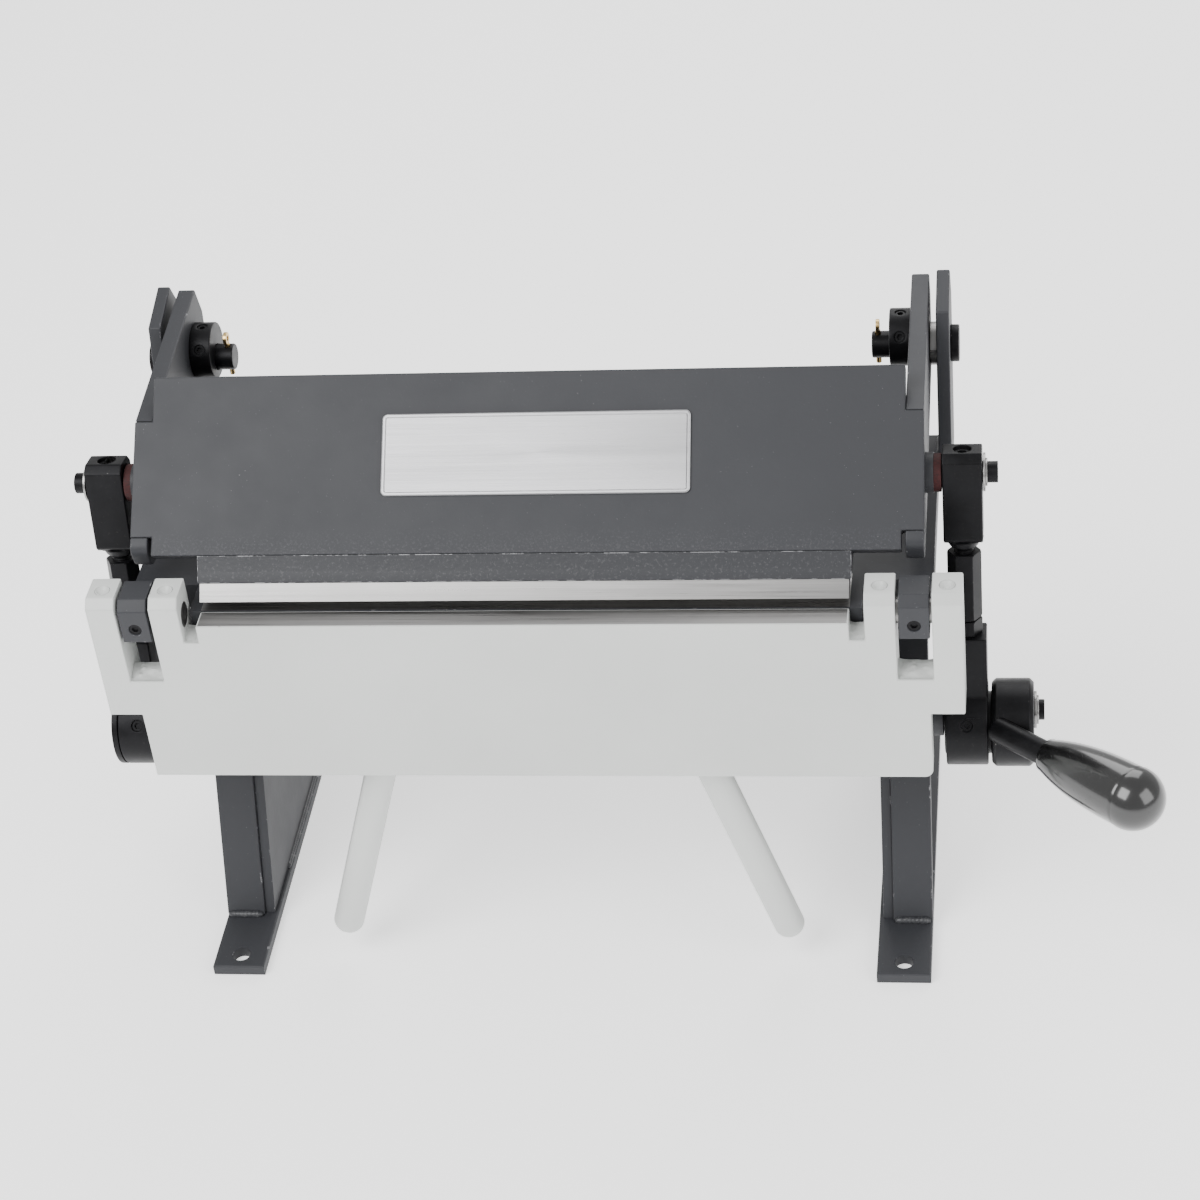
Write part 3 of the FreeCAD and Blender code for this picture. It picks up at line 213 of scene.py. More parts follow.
def oxide(name, colour, bare, roughness=0.4, wear=0.5):
    """Black oxide steel: satin, faintly mottled, bright along its worn edges."""
    mottle_scale, dust_scale, scuff_scale, grain_scale = 60, 700, 240, 900
    dust_colour = (0.045, 0.041, 0.038)
    look = Look(name, metallic=0.5, specular=0.2)
    mottle = look.noise(mottle_scale, 5, 0.65)
    tint = look.mix(look.span(mottle, 0.3, 0.7), shade(colour, 0.7), shade(colour, 1.5))
    dust = look.span(look.noise(dust_scale, 3, 0.7), 0.62, 0.74, 0.0, 0.35)
    tint = look.mix(dust, tint, dust_colour)
    scuff = look.span(look.noise(scuff_scale, 6, 0.7), 1 - wear, 1.08 - wear)
    worn = look.math("MULTIPLY", look.attribute("edge"), scuff)
    look.set("Base Color", look.mix(worn, tint, bare))
    look.set("Roughness", look.span(mottle, 0.25, 0.75, roughness - 0.08, roughness + 0.12))
    look.bump([(look.noise(grain_scale, 3), 0.05 * MM, 0.35), (mottle, 0.2 * MM, 0.08)])
    return look.material


def moulded(name, colour):
    """Glossy black moulded plastic with handling marks."""
    smear_scale, ripple_scale, scratch_scales = 26, 240, (900, 60, 900)
    ripple_height = 0.05 * MM
    look = Look(name, specular=0.6, coat=0.6, coat_roughness=0.08)
    smear = look.noise(smear_scale, 5, 0.6)
    depth = look.span(smear, 0.3, 0.7)
    look.set("Base Color", look.mix(depth, shade(colour, 0.8), shade(colour, 1.5)))
    scratch = look.noise(1.0, 4, 0.7, look.stretched(scratch_scales))
    marks = look.span(scratch, 0.6, 0.75, 0.0, 0.16)
    look.set("Roughness", look.math("ADD", look.span(smear, 0.3, 0.75, 0.14, 0.26), marks))
    look.bump([(look.noise(ripple_scale, 2), ripple_height, 0.15)])
    return look.material


def fibrous(name, colour):
    """Pressed fibre with short flecks."""
    fleck_scales = (600, 2600, 900)
    look = Look(name, specular=0.3)
    fleck = look.noise(1.0, 4, 0.7, look.stretched(fleck_scales))
    depth = look.span(fleck, 0.35, 0.65)
    look.set("Base Color", look.mix(depth, shade(colour, 0.6), shade(colour, 1.6)))
    look.set("Roughness", look.span(fleck, 0.2, 0.8, 0.55, 0.8))
    look.bump([(fleck, 0.05 * MM, 0.5)])
    return look.material


DARK_PAINT = (0.029, 0.030, 0.034)
PALE_PAINT = (0.55, 0.565, 0.55)

LOOKS = {
    "frame_paint": painted("dark enamel", DARK_PAINT, (0.22, 0.22, 0.23), wear=0.40,
                           roughness=0.5, specular=0.3),
    "apron_paint": painted("pale enamel", PALE_PAINT, (0.30, 0.30, 0.29), peel=0.25,
                           roughness=0.34, specks=0.80, wear=0.36),
    "machined_steel": brushed("ground steel", (0.345, 0.34, 0.335)),
    "black_oxide": oxide("black oxide", (0.008, 0.008, 0.009), (0.16, 0.155, 0.15), wear=0.36),
    "brass": brushed("brass wire", (0.70, 0.50, 0.22), roughness=0.26, along=(900, 900, 60)),
    "fibre": fibrous("maroon fibre", (0.034, 0.007, 0.007)),
    "label_metal": brushed("brushed label", (0.40, 0.40, 0.41), roughness=0.34,
                           along=(18, 1500, 1500), stain=0.05),
    "grip_plastic": moulded("black moulding", (0.004, 0.004, 0.004)),
}
WELD_DARK = painted("weld enamel", shade(DARK_PAINT, 0.95), (0.20, 0.20, 0.20), peel=0.9,
                    roughness=0.42, specks=0.74, wear=0.42, grit=0.22)
WELD_PALE = painted("weld pale enamel", shade(PALE_PAINT, 0.86), (0.22, 0.22, 0.21), peel=1.0,
                    roughness=0.36, specks=0.79, wear=0.3, grit=0.10)
# The nose's enamel is the frame's dark paint made a tenth darker: painted shade under the beam plate.
# Its grit and specks are real scuffs.
NOSE_SHADED_LOOK = painted("scuffed enamel with painted shade", shade(DARK_PAINT, 0.9), (0.26, 0.26, 0.27), peel=0.8,
                    roughness=0.44, specks=0.75, wear=0.5, grit=0.11, specular=0.35)
PLATE_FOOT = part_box("beam_plate")[0].z     # lower edge of the beam's plate
SCRAPED = (PLATE_FOOT + 5 * MM, PLATE_FOOT + 15 * MM)
PLATE_LOOK = painted("plate enamel", DARK_PAINT, (0.17, 0.17, 0.18), wear=0.26, roughness=0.5,
                     specular=0.3, band=SCRAPED)
STEEL = LOOKS["machined_steel"]


# ---------------------------------------------------------------- building blocks

def add_piece(name, mesh, body, replaces=()):
    piece = bpy.data.objects.new(name, mesh)
    bpy.context.scene.collection.objects.link(piece)
    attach(piece, body)
    if replaces:
        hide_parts(*replaces)
    return piece


def write_mesh(bm, name, materials, smooth_angle=38):
    """A mesh from a bmesh, smooth except across edges sharper than an angle."""
    limit = math.radians(smooth_angle)
    for face in bm.faces:
        face.smooth = True
    for edge in bm.edges:
        edge.smooth = len(edge.link_faces) == 2 and edge.calc_face_angle(0) < limit
    mesh = bpy.data.meshes.new(name)
    bm.to_mesh(mesh)
    bm.free()
    for material in materials:
        mesh.materials.append(material)
    return mesh


def make_whole(bm):
    """Join the triangles of each flat face."""
    flatness = math.radians(0.6)
    bmesh.ops.remove_doubles(bm, verts=bm.verts, dist=0.002 * MM)
    bmesh.ops.dissolve_limit(bm, angle_limit=flatness, verts=bm.verts, edges=bm.edges)


def node_bmesh(node):
    """A CAD node's mesh with its flat faces made whole again."""
    bm = bmesh.new()
    bm.from_mesh(frame["nodes"][node].data)
    make_whole(bm)
    return bm


def union_bmesh(names):
    """Several touching CAD nodes as one mesh, with no seam where they meet."""
    copies = []
    for node in names:
        copy = bpy.data.objects.new("union", frame["nodes"][node].data.copy())
        bpy.context.scene.collection.objects.link(copy)
        copies.append(copy)
    for copy in copies[1:]:
        modifier = copies[0].modifiers.new("Union", "BOOLEAN")
        modifier.operation = "UNION"
        modifier.solver = "EXACT"
        modifier.object = copy
    graph = bpy.context.evaluated_depsgraph_get()
    joined = bpy.data.meshes.new_from_object(copies[0].evaluated_get(graph))
    bm = bmesh.new()
    bm.from_mesh(joined)
    bpy.data.meshes.remove(joined)
    for copy in copies:
        mesh = copy.data
        bpy.data.objects.remove(copy)
        bpy.data.meshes.remove(mesh)
    make_whole(bm)
    return bm


def round_edges(bm, width):
    """Round the sharp edges, and mark the new faces with 1 in the 'edge' layer for wear."""
    sharp, segments = 33, 2
    layer = bm.faces.layers.float.new("edge")
    bm.normal_update()
    limit = math.radians(sharp)
    edges = []
    for edge in bm.edges:
        if len(edge.link_faces) == 2 and edge.calc_face_angle(0) > limit:
            edges.append(edge)
    made = bmesh.ops.bevel(
        bm, geom=edges, offset=width, segments=segments, profile=0.5, affect="EDGES",
        clamp_overlap=False)
    for face in made["faces"]:
        face[layer] = 1.0
    bm.normal_update()


def weighted_normals(piece):
    modifier = piece.modifiers.new("Normals", "WEIGHTED_NORMAL")
    modifier.keep_sharp = True
    modifier.weight = 90


def plane_of(node):
    """Middle and outward normal of a node's largest flat face, on the side that faces the front."""
    bm = node_bmesh(node)
    faces = [face for face in bm.faces if face.normal.y < 0 or face.normal.z > 0.9]
    largest = max(faces, key=lambda face: face.calc_area())
    middle, normal = largest.calc_center_median(), largest.normal.copy()
    bm.free()
    return middle, normal


def finish_mesh(bm, names, width, materials, choose=None):
    """Round a mesh's edges and let it stand for nodes; choose() picks the second material."""
    for face in bm.faces:
        face.material_index = 1 if choose and choose(face) else 0
    round_edges(bm, width)
    node = names[0]
    mesh = write_mesh(bm, f"{node}_finish", materials)
    piece = add_piece(f"{node}_finish", mesh, BODY_OF[node], names)
    weighted_normals(piece)


def finish_node(node, material):
    finish_mesh(node_bmesh(node), [node], edge_width(node), [material])


def ring_points(centre, side_a, side_b, radius_a, radius_b, count):
    points = []
    for index in range(count):
        angle = math.tau * index / count
        points.append(centre + side_a * (radius_a * math.cos(angle))
                      + side_b * (radius_b * math.sin(angle)))
    return points


def skin_rings(bm, rings):
    """Quads between rings of points that have the same count, and a face at each end."""
    made = [[bm.verts.new(point) for point in ring] for ring in rings]
    for low, high in zip(made, made[1:]):
        count = len(low)
        for index in range(count):
            following = (index + 1) % count
            bm.faces.new((low[index], low[following], high[following], high[index]))
    bm.faces.new(list(reversed(made[0])))
    bm.faces.new(made[-1])


def weld_bead(name, path, radius, body, material, ripple=1.7 * MM):
    """A bead of overlapping ripples along a path, half sunk in the joint that it closes."""
    step, sides, taper = 0.55 * MM, 10, 4
    wobble_scale, wobble_part, end_part, wear = 160, 0.14, 0.45, 0.35
    bm = bmesh.new()
    layer = bm.faces.layers.float.new("edge")
    rings = []
    travelled = 0.0
    for start, end in zip(path, path[1:]):
        length = (end - start).length
        along = (end - start).normalized()
        helper = Vector((0, 0, 1)) if abs(along.z) < 0.8 else Vector((0, 1, 0))
        side_a = along.cross(helper).normalized()
        side_b = along.cross(side_a).normalized()
        count = max(2, round(length / step))
        for index in range(count + 1):
            distance = length * index / count
            point = start + along * distance
            phase = abs(math.sin(math.pi * (travelled + distance) / ripple))
            wobble = noise.noise(point * wobble_scale) * wobble_part
            width = radius * (0.90 + 0.10 * phase + wobble)
            rings.append(ring_points(point, side_a, side_b, width, width, sides))
        travelled += length
    for index in range(taper):
        for ring in (rings[index], rings[-1 - index]):
            centre = sum(ring, Vector()) / len(ring)
            factor = end_part + (1 - end_part) * (index + 1) / (taper + 1)
            ring[:] = [centre + (point - centre) * factor for point in ring]
    skin_rings(bm, rings)
    bmesh.ops.recalc_face_normals(bm, faces=bm.faces)
    for face in bm.faces:
        face[layer] = wear
    add_piece(name, write_mesh(bm, name, [material], smooth_angle=70), body)


# ---------------------------------------------------------------- CAD nodes with rounded edges

SMALL = 0.18 * MM
MEDIUM = 0.4 * MM
LARGE = 0.8 * MM
EDGE_WIDTH = {
    "beam_plate": LARGE, "beam_arm_left": LARGE, "beam_arm_right": LARGE,
    "rear_upright_left": LARGE, "rear_upright_right": LARGE, "nose_bar": MEDIUM,
    "clamp_blade": 0.3 * MM, "bed_plate": 0.3 * MM, "link_block_left": LARGE,
    "link_block_right": LARGE, "link_eye_left": LARGE, "link_eye_right": LARGE,
    "leg_bar_left": LARGE, "leg_bar_right": LARGE, "hinge_block_left": 0.6 * MM,
    "hinge_block_right": 0.6 * MM, "lever_hub": 0.5 * MM, "handle_rod_left": 0.5 * MM,
    "handle_rod_right": 0.5 * MM, "eccentric_collar_left": 0.6 * MM,
    "eccentric_collar_right": 0.6 * MM, "pivot_pins": 0.7 * MM,
}
SMALL_NODES = ("screws", "clips", "clip", "washers", "pins", "spacers", "fibre", "bosses", "studs",
               "screw", "jam")
SPECIAL = ("name_plate", "lever_grip", "link_studs_left", "link_studs_right", "apron_plate",
           "ear_block_left", "ear_block_right", "bed_plate", "ear_screws")


def edge_width(node):
    if node in EDGE_WIDTH:
        return EDGE_WIDTH[node]
    if any(word in node for word in SMALL_NODES):
        return SMALL
    return MEDIUM


def working_strip(face):
    """The bare strips along the tops of the apron and the bed, as long as the blade."""
    middle = face.calc_center_median()
    inside = abs(middle.x) < WORK_HALF and middle.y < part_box("clamp_blade")[1].y
    return inside and face.normal.z > 0.9 and abs(middle.z - TOP) < 0.5 * MM


def apron():
    """The apron with its welded forks: one painted piece with a bare working strip."""
    names = ["apron_plate", "ear_block_left", "ear_block_right"]
    finish_mesh(union_bmesh(names), names, 0.8 * MM, [LOOKS["apron_paint"], STEEL], working_strip)


def bed():
    """The bed, painted except for the strip under the blade."""
    bm = node_bmesh("bed_plate")
    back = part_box("clamp_blade")[1].y
    for place, normal in (((WORK_HALF, 0, 0), (1, 0, 0)), ((-WORK_HALF, 0, 0), (1, 0, 0)),
                          ((0, back, 0), (0, 1, 0))):
        everything = list(bm.verts) + list(bm.edges) + list(bm.faces)
        bmesh.ops.bisect_plane(bm, geom=everything, plane_co=place, plane_no=normal)
    finish_mesh(bm, ["bed_plate"], edge_width("bed_plate"), [LOOKS["frame_paint"], STEEL],
                working_strip)


def finish_all():
    for node in sorted(SLOT_OF):
        if node in SPECIAL:
            continue
        # The nose bar gets the darker enamel: painted shade under the beam plate.
        if node == "nose_bar":
            finish_node(node, NOSE_SHADED_LOOK)
        elif node == "beam_plate":
            finish_node(node, PLATE_LOOK)
        else:
            finish_node(node, LOOKS[SLOT_OF[node]])


# ---------------------------------------------------------------- pieces built here

def name_plate():
    """Plain brushed plate with a raised, rounded rim."""
    slope, rise, rim, field_depth = 0.5 * MM, 0.25 * MM, 0.9 * MM, 0.45 * MM
    bm = node_bmesh("name_plate")
    bm.faces.ensure_lookup_table()
    layer = bm.faces.layers.float.new("edge")
    front = max((face for face in bm.faces if face.normal.y < 0), key=lambda face: face.calc_area())
    bmesh.ops.inset_individual(bm, faces=[front], thickness=slope, depth=rise)
    bmesh.ops.inset_individual(bm, faces=[front], thickness=rim, depth=0.0)
    bmesh.ops.inset_individual(bm, faces=[front], thickness=slope, depth=-field_depth)
    for face in bm.faces:
        face[layer] = 0.0
    mesh = write_mesh(bm, "name_plate_rim", [LOOKS["label_metal"]], smooth_angle=20)
    add_piece("name_plate_rim", mesh, BODY_OF["name_plate"], ["name_plate"])


def lever_axis():
    """Start and direction of the hand lever, from the axis of its rod."""
    end_zone = 12 * MM
    points = [vertex.co for vertex in frame["nodes"]["lever_rod"].data.vertices]
    low = min(points, key=lambda point: point.x)
    high = max(points, key=lambda point: point.x)
    rough = (high - low).normalized()
    first = [point for point in points if (point - low).dot(rough) < end_zone]
    last = [point for point in points if (high - point).dot(rough) < end_zone]
    start = sum(first, Vector()) / len(first)
    end = sum(last, Vector()) / len(last)
    return start, (end - start).normalized()


def lever_grip():
    """Moulded grip: a collar at the neck, a body that swells towards the end, and a ball end.

    The outline is (part of the length, radius).
    """
    swell_start, neck, swell, fullness = 0.03, 0.56, 0.42, 2.6
    steps, ball_steps, around, smallest = 30, 24, 56, 0.2 * MM
    start, along = lever_axis()
    corners = [vertex.co for vertex in frame["nodes"]["lever_grip"].data.vertices]
    reach = [(corner - start).dot(along) for corner in corners]
    low, high = min(reach), max(reach)
    length = high - low
    radius = max(((corner - start) - along * (corner - start).dot(along)).length
                 for corner in corners)
    side_a = along.cross(Vector((0, 0, 1))).normalized()
    side_b = along.cross(side_a).normalized()
    ball_middle = 1 - radius / length
    swell_end = ball_middle - 0.012
    outline = [(0.0, 0.40 * radius), (0.0, 0.50 * radius), (0.010, 0.545 * radius)]
    for index in range(steps + 1):
        part = index / steps
        wide = neck + swell * (1 - (1 - part) ** fullness)
        outline.append((swell_start + (swell_end - swell_start) * part, wide * radius))
    outline.append((ball_middle - 0.005, 0.965 * radius))
    for index in range(ball_steps):
        angle = math.pi / 2 * index / ball_steps
        outline.append((ball_middle + radius / length * math.sin(angle), radius * math.cos(angle)))
    rings = []
    for part, wide in outline:
        centre = start + along * (low + length * part)
        wide = max(wide, smallest)
        rings.append(ring_points(centre, side_a, side_b, wide, wide, around))
    bm = bmesh.new()
    skin_rings(bm, rings)
    bmesh.ops.recalc_face_normals(bm, faces=bm.faces)
    mesh = write_mesh(bm, "lever_grip_ball", [LOOKS["grip_plastic"]], smooth_angle=50)
    add_piece("lever_grip_ball", mesh, "crank", ["lever_grip"])


# Outline of a painted-over screw: (part of its radius, height in mm over the fork's top)
BOWL = ((1.0, -3.5), (1.0, 0.5), (0.92, 0.6), (0.78, 0.1), (0.6, -0.6), (0.4, -1.1), (0.2, -1.35),
        (0.05, -1.4))


def ear_dimples():
    """The painted-over screws of the forks: each a shallow bowl."""
    around = 28
    side_a, side_b = Vector((1, 0, 0)), Vector((0, 1, 0))
    pins_low, pins_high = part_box("hinge_pins")
    points = [vertex.co for vertex in frame["nodes"]["ear_screws"].data.vertices]
    top = max(point.z for point in points)
    bm = bmesh.new()
    for _, sign in SIDES:
        own = sorted(point.x for point in points if point.x * sign > 0)
        gaps = [(high - low, low, high) for low, high in zip(own, own[1:])]
        _, split_low, split_high = max(gaps)
        for first, last in ((own[0], split_low), (split_high, own[-1])):
            radius = (last - first) / 2
            centre = Vector(((first + last) / 2, (pins_low.y + pins_high.y) / 2, top))
            rings = []
            for part, rise in BOWL:
                rings.append(ring_points(centre + Vector((0, 0, rise * MM)), side_a, side_b,
                                         radius * part, radius * part, around))
            skin_rings(bm, rings)
    bmesh.ops.recalc_face_normals(bm, faces=bm.faces)
    mesh = write_mesh(bm, "ear_screws_painted", [LOOKS["apron_paint"]], smooth_angle=50)
    add_piece("ear_screws_painted", mesh, "apron", ["ear_screws"])


def threaded_studs(side):
    """The studs of a link with a visible thread: four rings to a turn."""
    pitch, groove, wear, around = 1.25 * MM, 0.55 * MM, 0.6, 18
    turn = (0.0, 0.5, 1.0, 0.5)
    node = f"link_studs_{side}"
    joint = JOINTS[f"adjuster_turn_{side}"]
    origin, along = Vector(joint["pos_m"]), Vector(joint["axis"]).normalized()
    points = [vertex.co for vertex in frame["nodes"][node].data.vertices]
    reach = sorted({round((point - origin).dot(along), 5) for point in points})
    radius = max(((point - origin) - along * (point - origin).dot(along)).length
                 for point in points)
    side_a = Vector((1, 0, 0))
    side_b = along.cross(side_a).normalized()
    bm = bmesh.new()
    studs = [(reach[0], reach[-1])]
    if len(reach) == 4:
        studs = [(reach[0], reach[1]), (reach[2], reach[3])]
    for low, high in studs:
        rings = []
        count = round((high - low) / pitch) * len(turn)
        for index in range(count + 1):
            height = low + (high - low) * index / count
            depth = turn[index % len(turn)] * groove
            rings.append(ring_points(origin + along * height, side_a, side_b,
                                     radius - depth, radius - depth, around))
        skin_rings(bm, rings)
    bmesh.ops.recalc_face_normals(bm, faces=bm.faces)
    layer = bm.faces.layers.float.new("edge")
    for face in bm.faces:
        face[layer] = wear
    mesh = write_mesh(bm, f"{node}_thread", [LOOKS["black_oxide"]], smooth_angle=30)
    add_piece(f"{node}_thread", mesh, BODY_OF[node], [node])


def frame_welds():
    """Beads that join the feet, legs, side plates, bed, shaft bearings and uprights."""
    leg_bead, leg_ripple, leg_rise = 2.3 * MM, 2.1 * MM, 0.6 * MM
    plate_bead, bearing_bead, upright_bead = 1.7 * MM, 1.5 * MM, 1.6 * MM
    foot_run = (142 * MM, 12 * MM)       # both from the side plate's back
    bed_run = (34 * MM, 72 * MM)         # from the side plate's front and back
    upright_start, upright_stop = 6 * MM, 2 * MM
    circle_points = 40
    bed_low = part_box("bed_plate")[0].z
    for side, sign in SIDES:
        leg_low, leg_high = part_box(f"leg_bar_{side}")
        plate_low, plate_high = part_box(f"side_plate_{side}")
        inner = plate_high.x if sign < 0 else plate_low.x
        foot_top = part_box(f"foot_bar_{side}")[1].z
        weld_bead(f"weld_leg_foot_{side}",
                  [Vector((leg_low.x + MM, leg_low.y, foot_top + leg_rise)),
                   Vector((leg_high.x - MM, leg_low.y, foot_top + leg_rise))],
                  leg_bead, "root", WELD_DARK, leg_ripple)
        weld_bead(f"weld_plate_foot_{side}",
                  [Vector((inner, plate_high.y - foot_run[0], foot_top)),
                   Vector((inner, plate_high.y - foot_run[1], foot_top))],
                  plate_bead, "root", WELD_DARK)
        weld_bead(f"weld_plate_bed_{side}",
                  [Vector((inner, plate_low.y + bed_run[0], bed_low)),
                   Vector((inner, plate_high.y - bed_run[1], bed_low))],
                  plate_bead, "root", WELD_DARK)
        bearing_low, bearing_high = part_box(f"shaft_bearing_{side}")
        middle = (bearing_low + bearing_high) / 2
        radius = (bearing_high.z - bearing_low.z) / 2
        face = bearing_low.x if sign > 0 else bearing_high.x
        circle = ring_points(Vector((face, middle.y, middle.z)), Vector((0, 1, 0)),
                             Vector((0, 0, 1)), radius, radius, circle_points)
        weld_bead(f"weld_bearing_{side}", circle + circle[:1], bearing_bead, "root",
                  WELD_DARK)
        upright_low, upright_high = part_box(f"rear_upright_{side}")
        edge = upright_low.x if sign > 0 else upright_high.x
        weld_bead(f"weld_upright_{side}",
                  [Vector((edge, upright_low.y + upright_start, TOP)),
                   Vector((edge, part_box("bed_plate")[1].y - upright_stop, TOP))],
                  upright_bead, "root", WELD_DARK)


def weld_slope(name, low, high):
    """A heap of weld that rises to the back between two corners of its box, with pimples."""
    across, deep = 22, 24
    lump_scale, lump_height, pimple_scale, pimple_height = 230, 0.7 * MM, 700, 1.6 * MM
    pimple_floor, sag, thinnest = 0.35, 0.9 * MM, 0.5 * MM
    full_at, steepness, lumps_at = 1.25, 1.3, 4
    bm = bmesh.new()
    layer = bm.faces.layers.float.new("edge")
    rows = []
    for row in range(deep + 1):
        part = row / deep
        rise = math.sin(math.pi / 2 * min(1.0, part * full_at)) ** steepness
        line = []
        for column in range(across + 1):
            x = low.x + (high.x - low.x) * column / across
            y = low.y + (high.y - low.y) * part
            spot = Vector((x, y, low.z))
            lump = noise.noise(spot * lump_scale) * lump_height
            pimple = max(0.0, noise.noise(spot * pimple_scale) - pimple_floor) * pimple_height
            hollow = sag * math.sin(math.pi * column / across)
            z = low.z + (high.z - low.z - hollow) * rise + lump * min(1.0, part * lumps_at) + pimple
            line.append(bm.verts.new((x, y, max(z, low.z + thinnest))))
        rows.append(line)
    base = [[bm.verts.new((vertex.co.x, vertex.co.y, low.z)) for vertex in line] for line in rows]
    for sheet in (rows, base):
        for near, far in zip(sheet, sheet[1:]):
            for column in range(across):
                bm.faces.new((near[column], near[column + 1], far[column + 1], far[column]))
    rims = []
    for sheet in (rows, base):
        rim = list(sheet[0]) + [line[-1] for line in sheet[1:]] + list(reversed(sheet[-1][:-1]))
        rims.append(rim + [line[0] for line in reversed(sheet[1:-1])])
    count = len(rims[0])
    for index in range(count):
        following = (index + 1) % count
        bm.faces.new((rims[0][index], rims[0][following], rims[1][following], rims[1][index]))
    bmesh.ops.recalc_face_normals(bm, faces=bm.faces)
    for face in bm.faces:
        face[layer] = 0.0
    add_piece(name, write_mesh(bm, name, [WELD_PALE], smooth_angle=70), "apron")


def apron_welds():
    """Welds at the bottoms of the forks' slots and notches, and along the rods behind."""
    slot_weld = (47.9 * MM, 43.5 * MM)   # foot and top, below the top of the fork
    notch_weld = (10.4 * MM, 6.8 * MM)   # foot and top, below the top of the apron
    slot_front, notch_front, inset, overhang = 0.6 * MM, 0.8 * MM, 0.6 * MM, 1.5 * MM
    notch_gap = 0.4 * MM
    rod_width, rod_middle, rod_spread, rod_bead = 15.6 * MM, 8 * MM, 4.2 * MM, 1.9 * MM
    bead_back, bead_start, bead_drop = 1.2 * MM, 5 * MM, 21 * MM
    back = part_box("apron_plate")[1].y
    for side, sign in SIDES:
        block_low, block_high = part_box(f"hinge_block_{side}")
        ear_low, ear_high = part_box(f"ear_block_{side}")
        weld_slope(f"weld_slot_{side}",
                   Vector((block_low.x - overhang, ear_low.y + slot_front, ear_high.z - slot_weld[0])),
                   Vector((block_high.x + overhang, back - inset, ear_high.z - slot_weld[1])))
        inner = ear_low.x if sign > 0 else ear_high.x
        ends = sorted((inner + sign * notch_gap, sign * (WORK_HALF - notch_gap)))
        weld_slope(f"weld_notch_{side}",
                   Vector((ends[0], ear_low.y + notch_front, TOP - notch_weld[0])),
                   Vector((ends[1], back - inset, TOP - notch_weld[1])))
        rod_low, rod_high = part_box(f"handle_rod_{side}")
        slope = (rod_high.x - rod_low.x - rod_width) / (rod_high.z - rod_low.z - rod_width)
        inner_top = rod_low.x if sign > 0 else rod_high.x
        for offset in (-1, 1):
            start_x = inner_top + sign * rod_middle + offset * rod_spread
            top = Vector((start_x, back + bead_back, rod_high.z - bead_start))
            low = top + Vector((sign * slope * bead_drop, 0, -bead_drop))
            weld_bead(f"weld_rod_{side}_{'a' if offset < 0 else 'b'}", [top, low],
                      rod_bead, "apron", WELD_PALE)


def beam_welds():
    """Beads between the beam plate and the arms."""
    thickness, reach, bead = 8 * MM, 24 * MM, 1.8 * MM
    middle, normal = plane_of("beam_plate")
    up = Vector((0, -normal.z, normal.y))
    if up.z < 0:
        up = -up
    back = middle - normal * thickness
    for side, sign in SIDES:
        arm_low, arm_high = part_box(f"beam_arm_{side}")
        inner = arm_high.x if sign < 0 else arm_low.x
        centre = Vector((inner, back.y, back.z))
        weld_bead(f"weld_arm_{side}", [centre - up * reach, centre + up * reach],
                  bead, "beam", WELD_DARK)


# ---------------------------------------------------------------- studio

FLOOR_REACH = 12.0
FLOOR_DROP = 0.2 * MM                      # gap under the feet
FLOOR_GLOW = 0.8
WORLD_GLOW = 0.85
LIGHTS = (("key", (-0.9, -1.1, 1.7), 1.3, 42),         # name, place, width and power
          ("fill", (1.5, -0.9, 1.0), 1.2, 16),
          ("back", (0.3, 1.4, 1.6), 1.4, 22))
AIM_HEIGHT = 0.6                           # part of the working height
CAMERA_TURN, CAMERA_TILT, CAMERA_ROLL = 10.69, 37.12, -6.86    # degrees
CAMERA_SIDE, CAMERA_AHEAD, CAMERA_ABOVE = 241.6 * MM, 1066.0 * MM, 835.7 * MM
SENSOR_WIDTH, LENS = 36, 89.73
NEAREST = 0.05


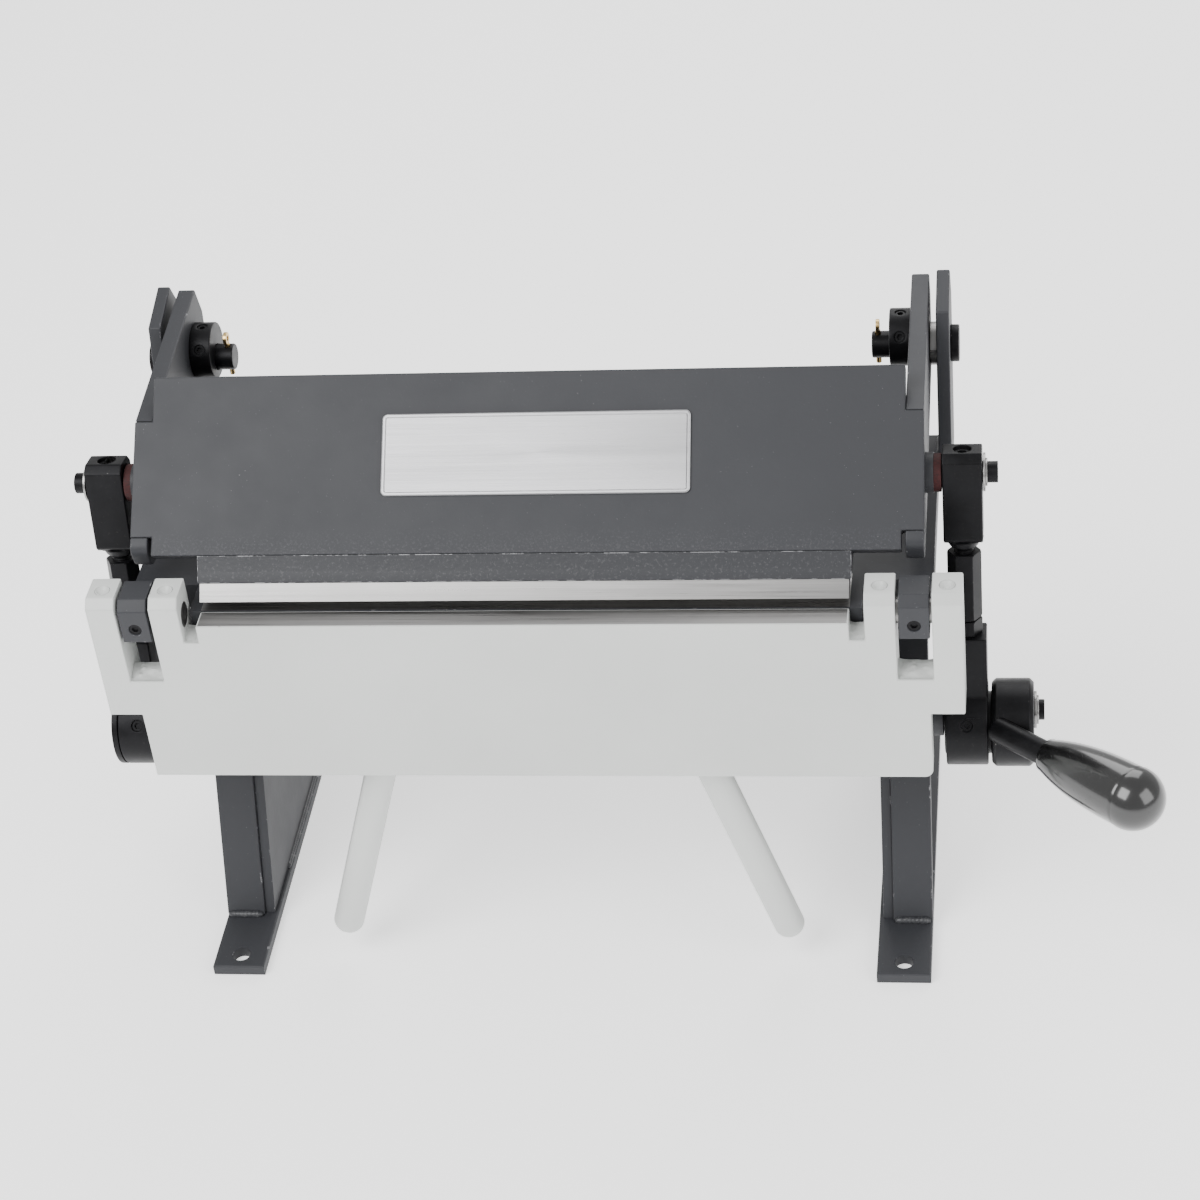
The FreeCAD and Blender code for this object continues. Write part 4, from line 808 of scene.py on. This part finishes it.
def studio():
    """Plain pale floor, even backdrop light and three soft lights."""
    floor_mesh = bpy.data.meshes.new("floor")
    bm = bmesh.new()
    corners = [bm.verts.new((x * FLOOR_REACH, y * FLOOR_REACH, -FLOOR_DROP))
               for x, y in ((-1, -1), (1, -1), (1, 1), (-1, 1))]
    bm.faces.new(corners)
    bm.to_mesh(floor_mesh)
    bm.free()
    floor = bpy.data.objects.new("floor", floor_mesh)
    bpy.context.scene.collection.objects.link(floor)
    look = Look("pale floor", specular=0.2)
    grain = look.noise(3, 3)
    look.set("Base Color", look.mix(grain, (0.93, 0.93, 0.93), (0.96, 0.96, 0.96)))
    look.set("Roughness", look.span(grain, 0, 1, 0.75, 0.9))
    look.shader.inputs["Emission Color"].default_value = (1.0, 1.0, 1.0, 1.0)
    look.shader.inputs["Emission Strength"].default_value = FLOOR_GLOW
    floor_mesh.materials.append(look.material)

    world = bpy.data.worlds.new("studio")
    world.use_nodes = True
    background = world.node_tree.nodes["Background"]
    background.inputs["Color"].default_value = (1.0, 1.0, 1.0, 1.0)
    background.inputs["Strength"].default_value = WORLD_GLOW
    bpy.context.scene.world = world

    for name, place, width, power in LIGHTS:
        soft_light(name, place, width, power)


def soft_light(name, place, width, power):
    data = bpy.data.lights.new(name, "AREA")
    data.shape = "SQUARE"
    data.size = width
    data.energy = power
    light = bpy.data.objects.new(name, data)
    light.location = place
    target = Vector((0, 0, TOP * AIM_HEIGHT))
    light.rotation_mode = "QUATERNION"
    light.rotation_quaternion = (target - Vector(place)).to_track_quat("-Z", "Y")
    bpy.context.scene.collection.objects.link(light)


def camera():
    """Camera from the front, well above, a little from the right, with a slight roll."""
    azimuth, elevation = math.radians(CAMERA_TURN), math.radians(CAMERA_TILT)
    roll = math.radians(CAMERA_ROLL)
    place = Vector((CAMERA_SIDE, FRONT - CAMERA_AHEAD, TOP + CAMERA_ABOVE))
    sight = Vector((-math.sin(azimuth) * math.cos(elevation),
                    math.cos(azimuth) * math.cos(elevation), -math.sin(elevation)))
    right = Vector((math.cos(azimuth), math.sin(azimuth), 0))
    up = right.cross(sight)
    rolled_right = right * math.cos(roll) + up * math.sin(roll)
    rolled_up = up * math.cos(roll) - right * math.sin(roll)
    turn = Matrix((rolled_right, rolled_up, -sight)).transposed()
    data = bpy.data.cameras.new("camera")
    data.sensor_width = SENSOR_WIDTH
    data.lens = LENS
    data.clip_start = NEAREST
    eye = bpy.data.objects.new("camera", data)
    eye.matrix_world = Matrix.Translation(place) @ turn.to_4x4()
    bpy.context.scene.collection.objects.link(eye)
    bpy.context.scene.camera = eye


finish_all()
apron()
bed()
name_plate()
lever_grip()
ear_dimples()
for side_name, _ in SIDES:
    threaded_studs(side_name)
frame_welds()
apron_welds()
beam_welds()
studio()
camera()
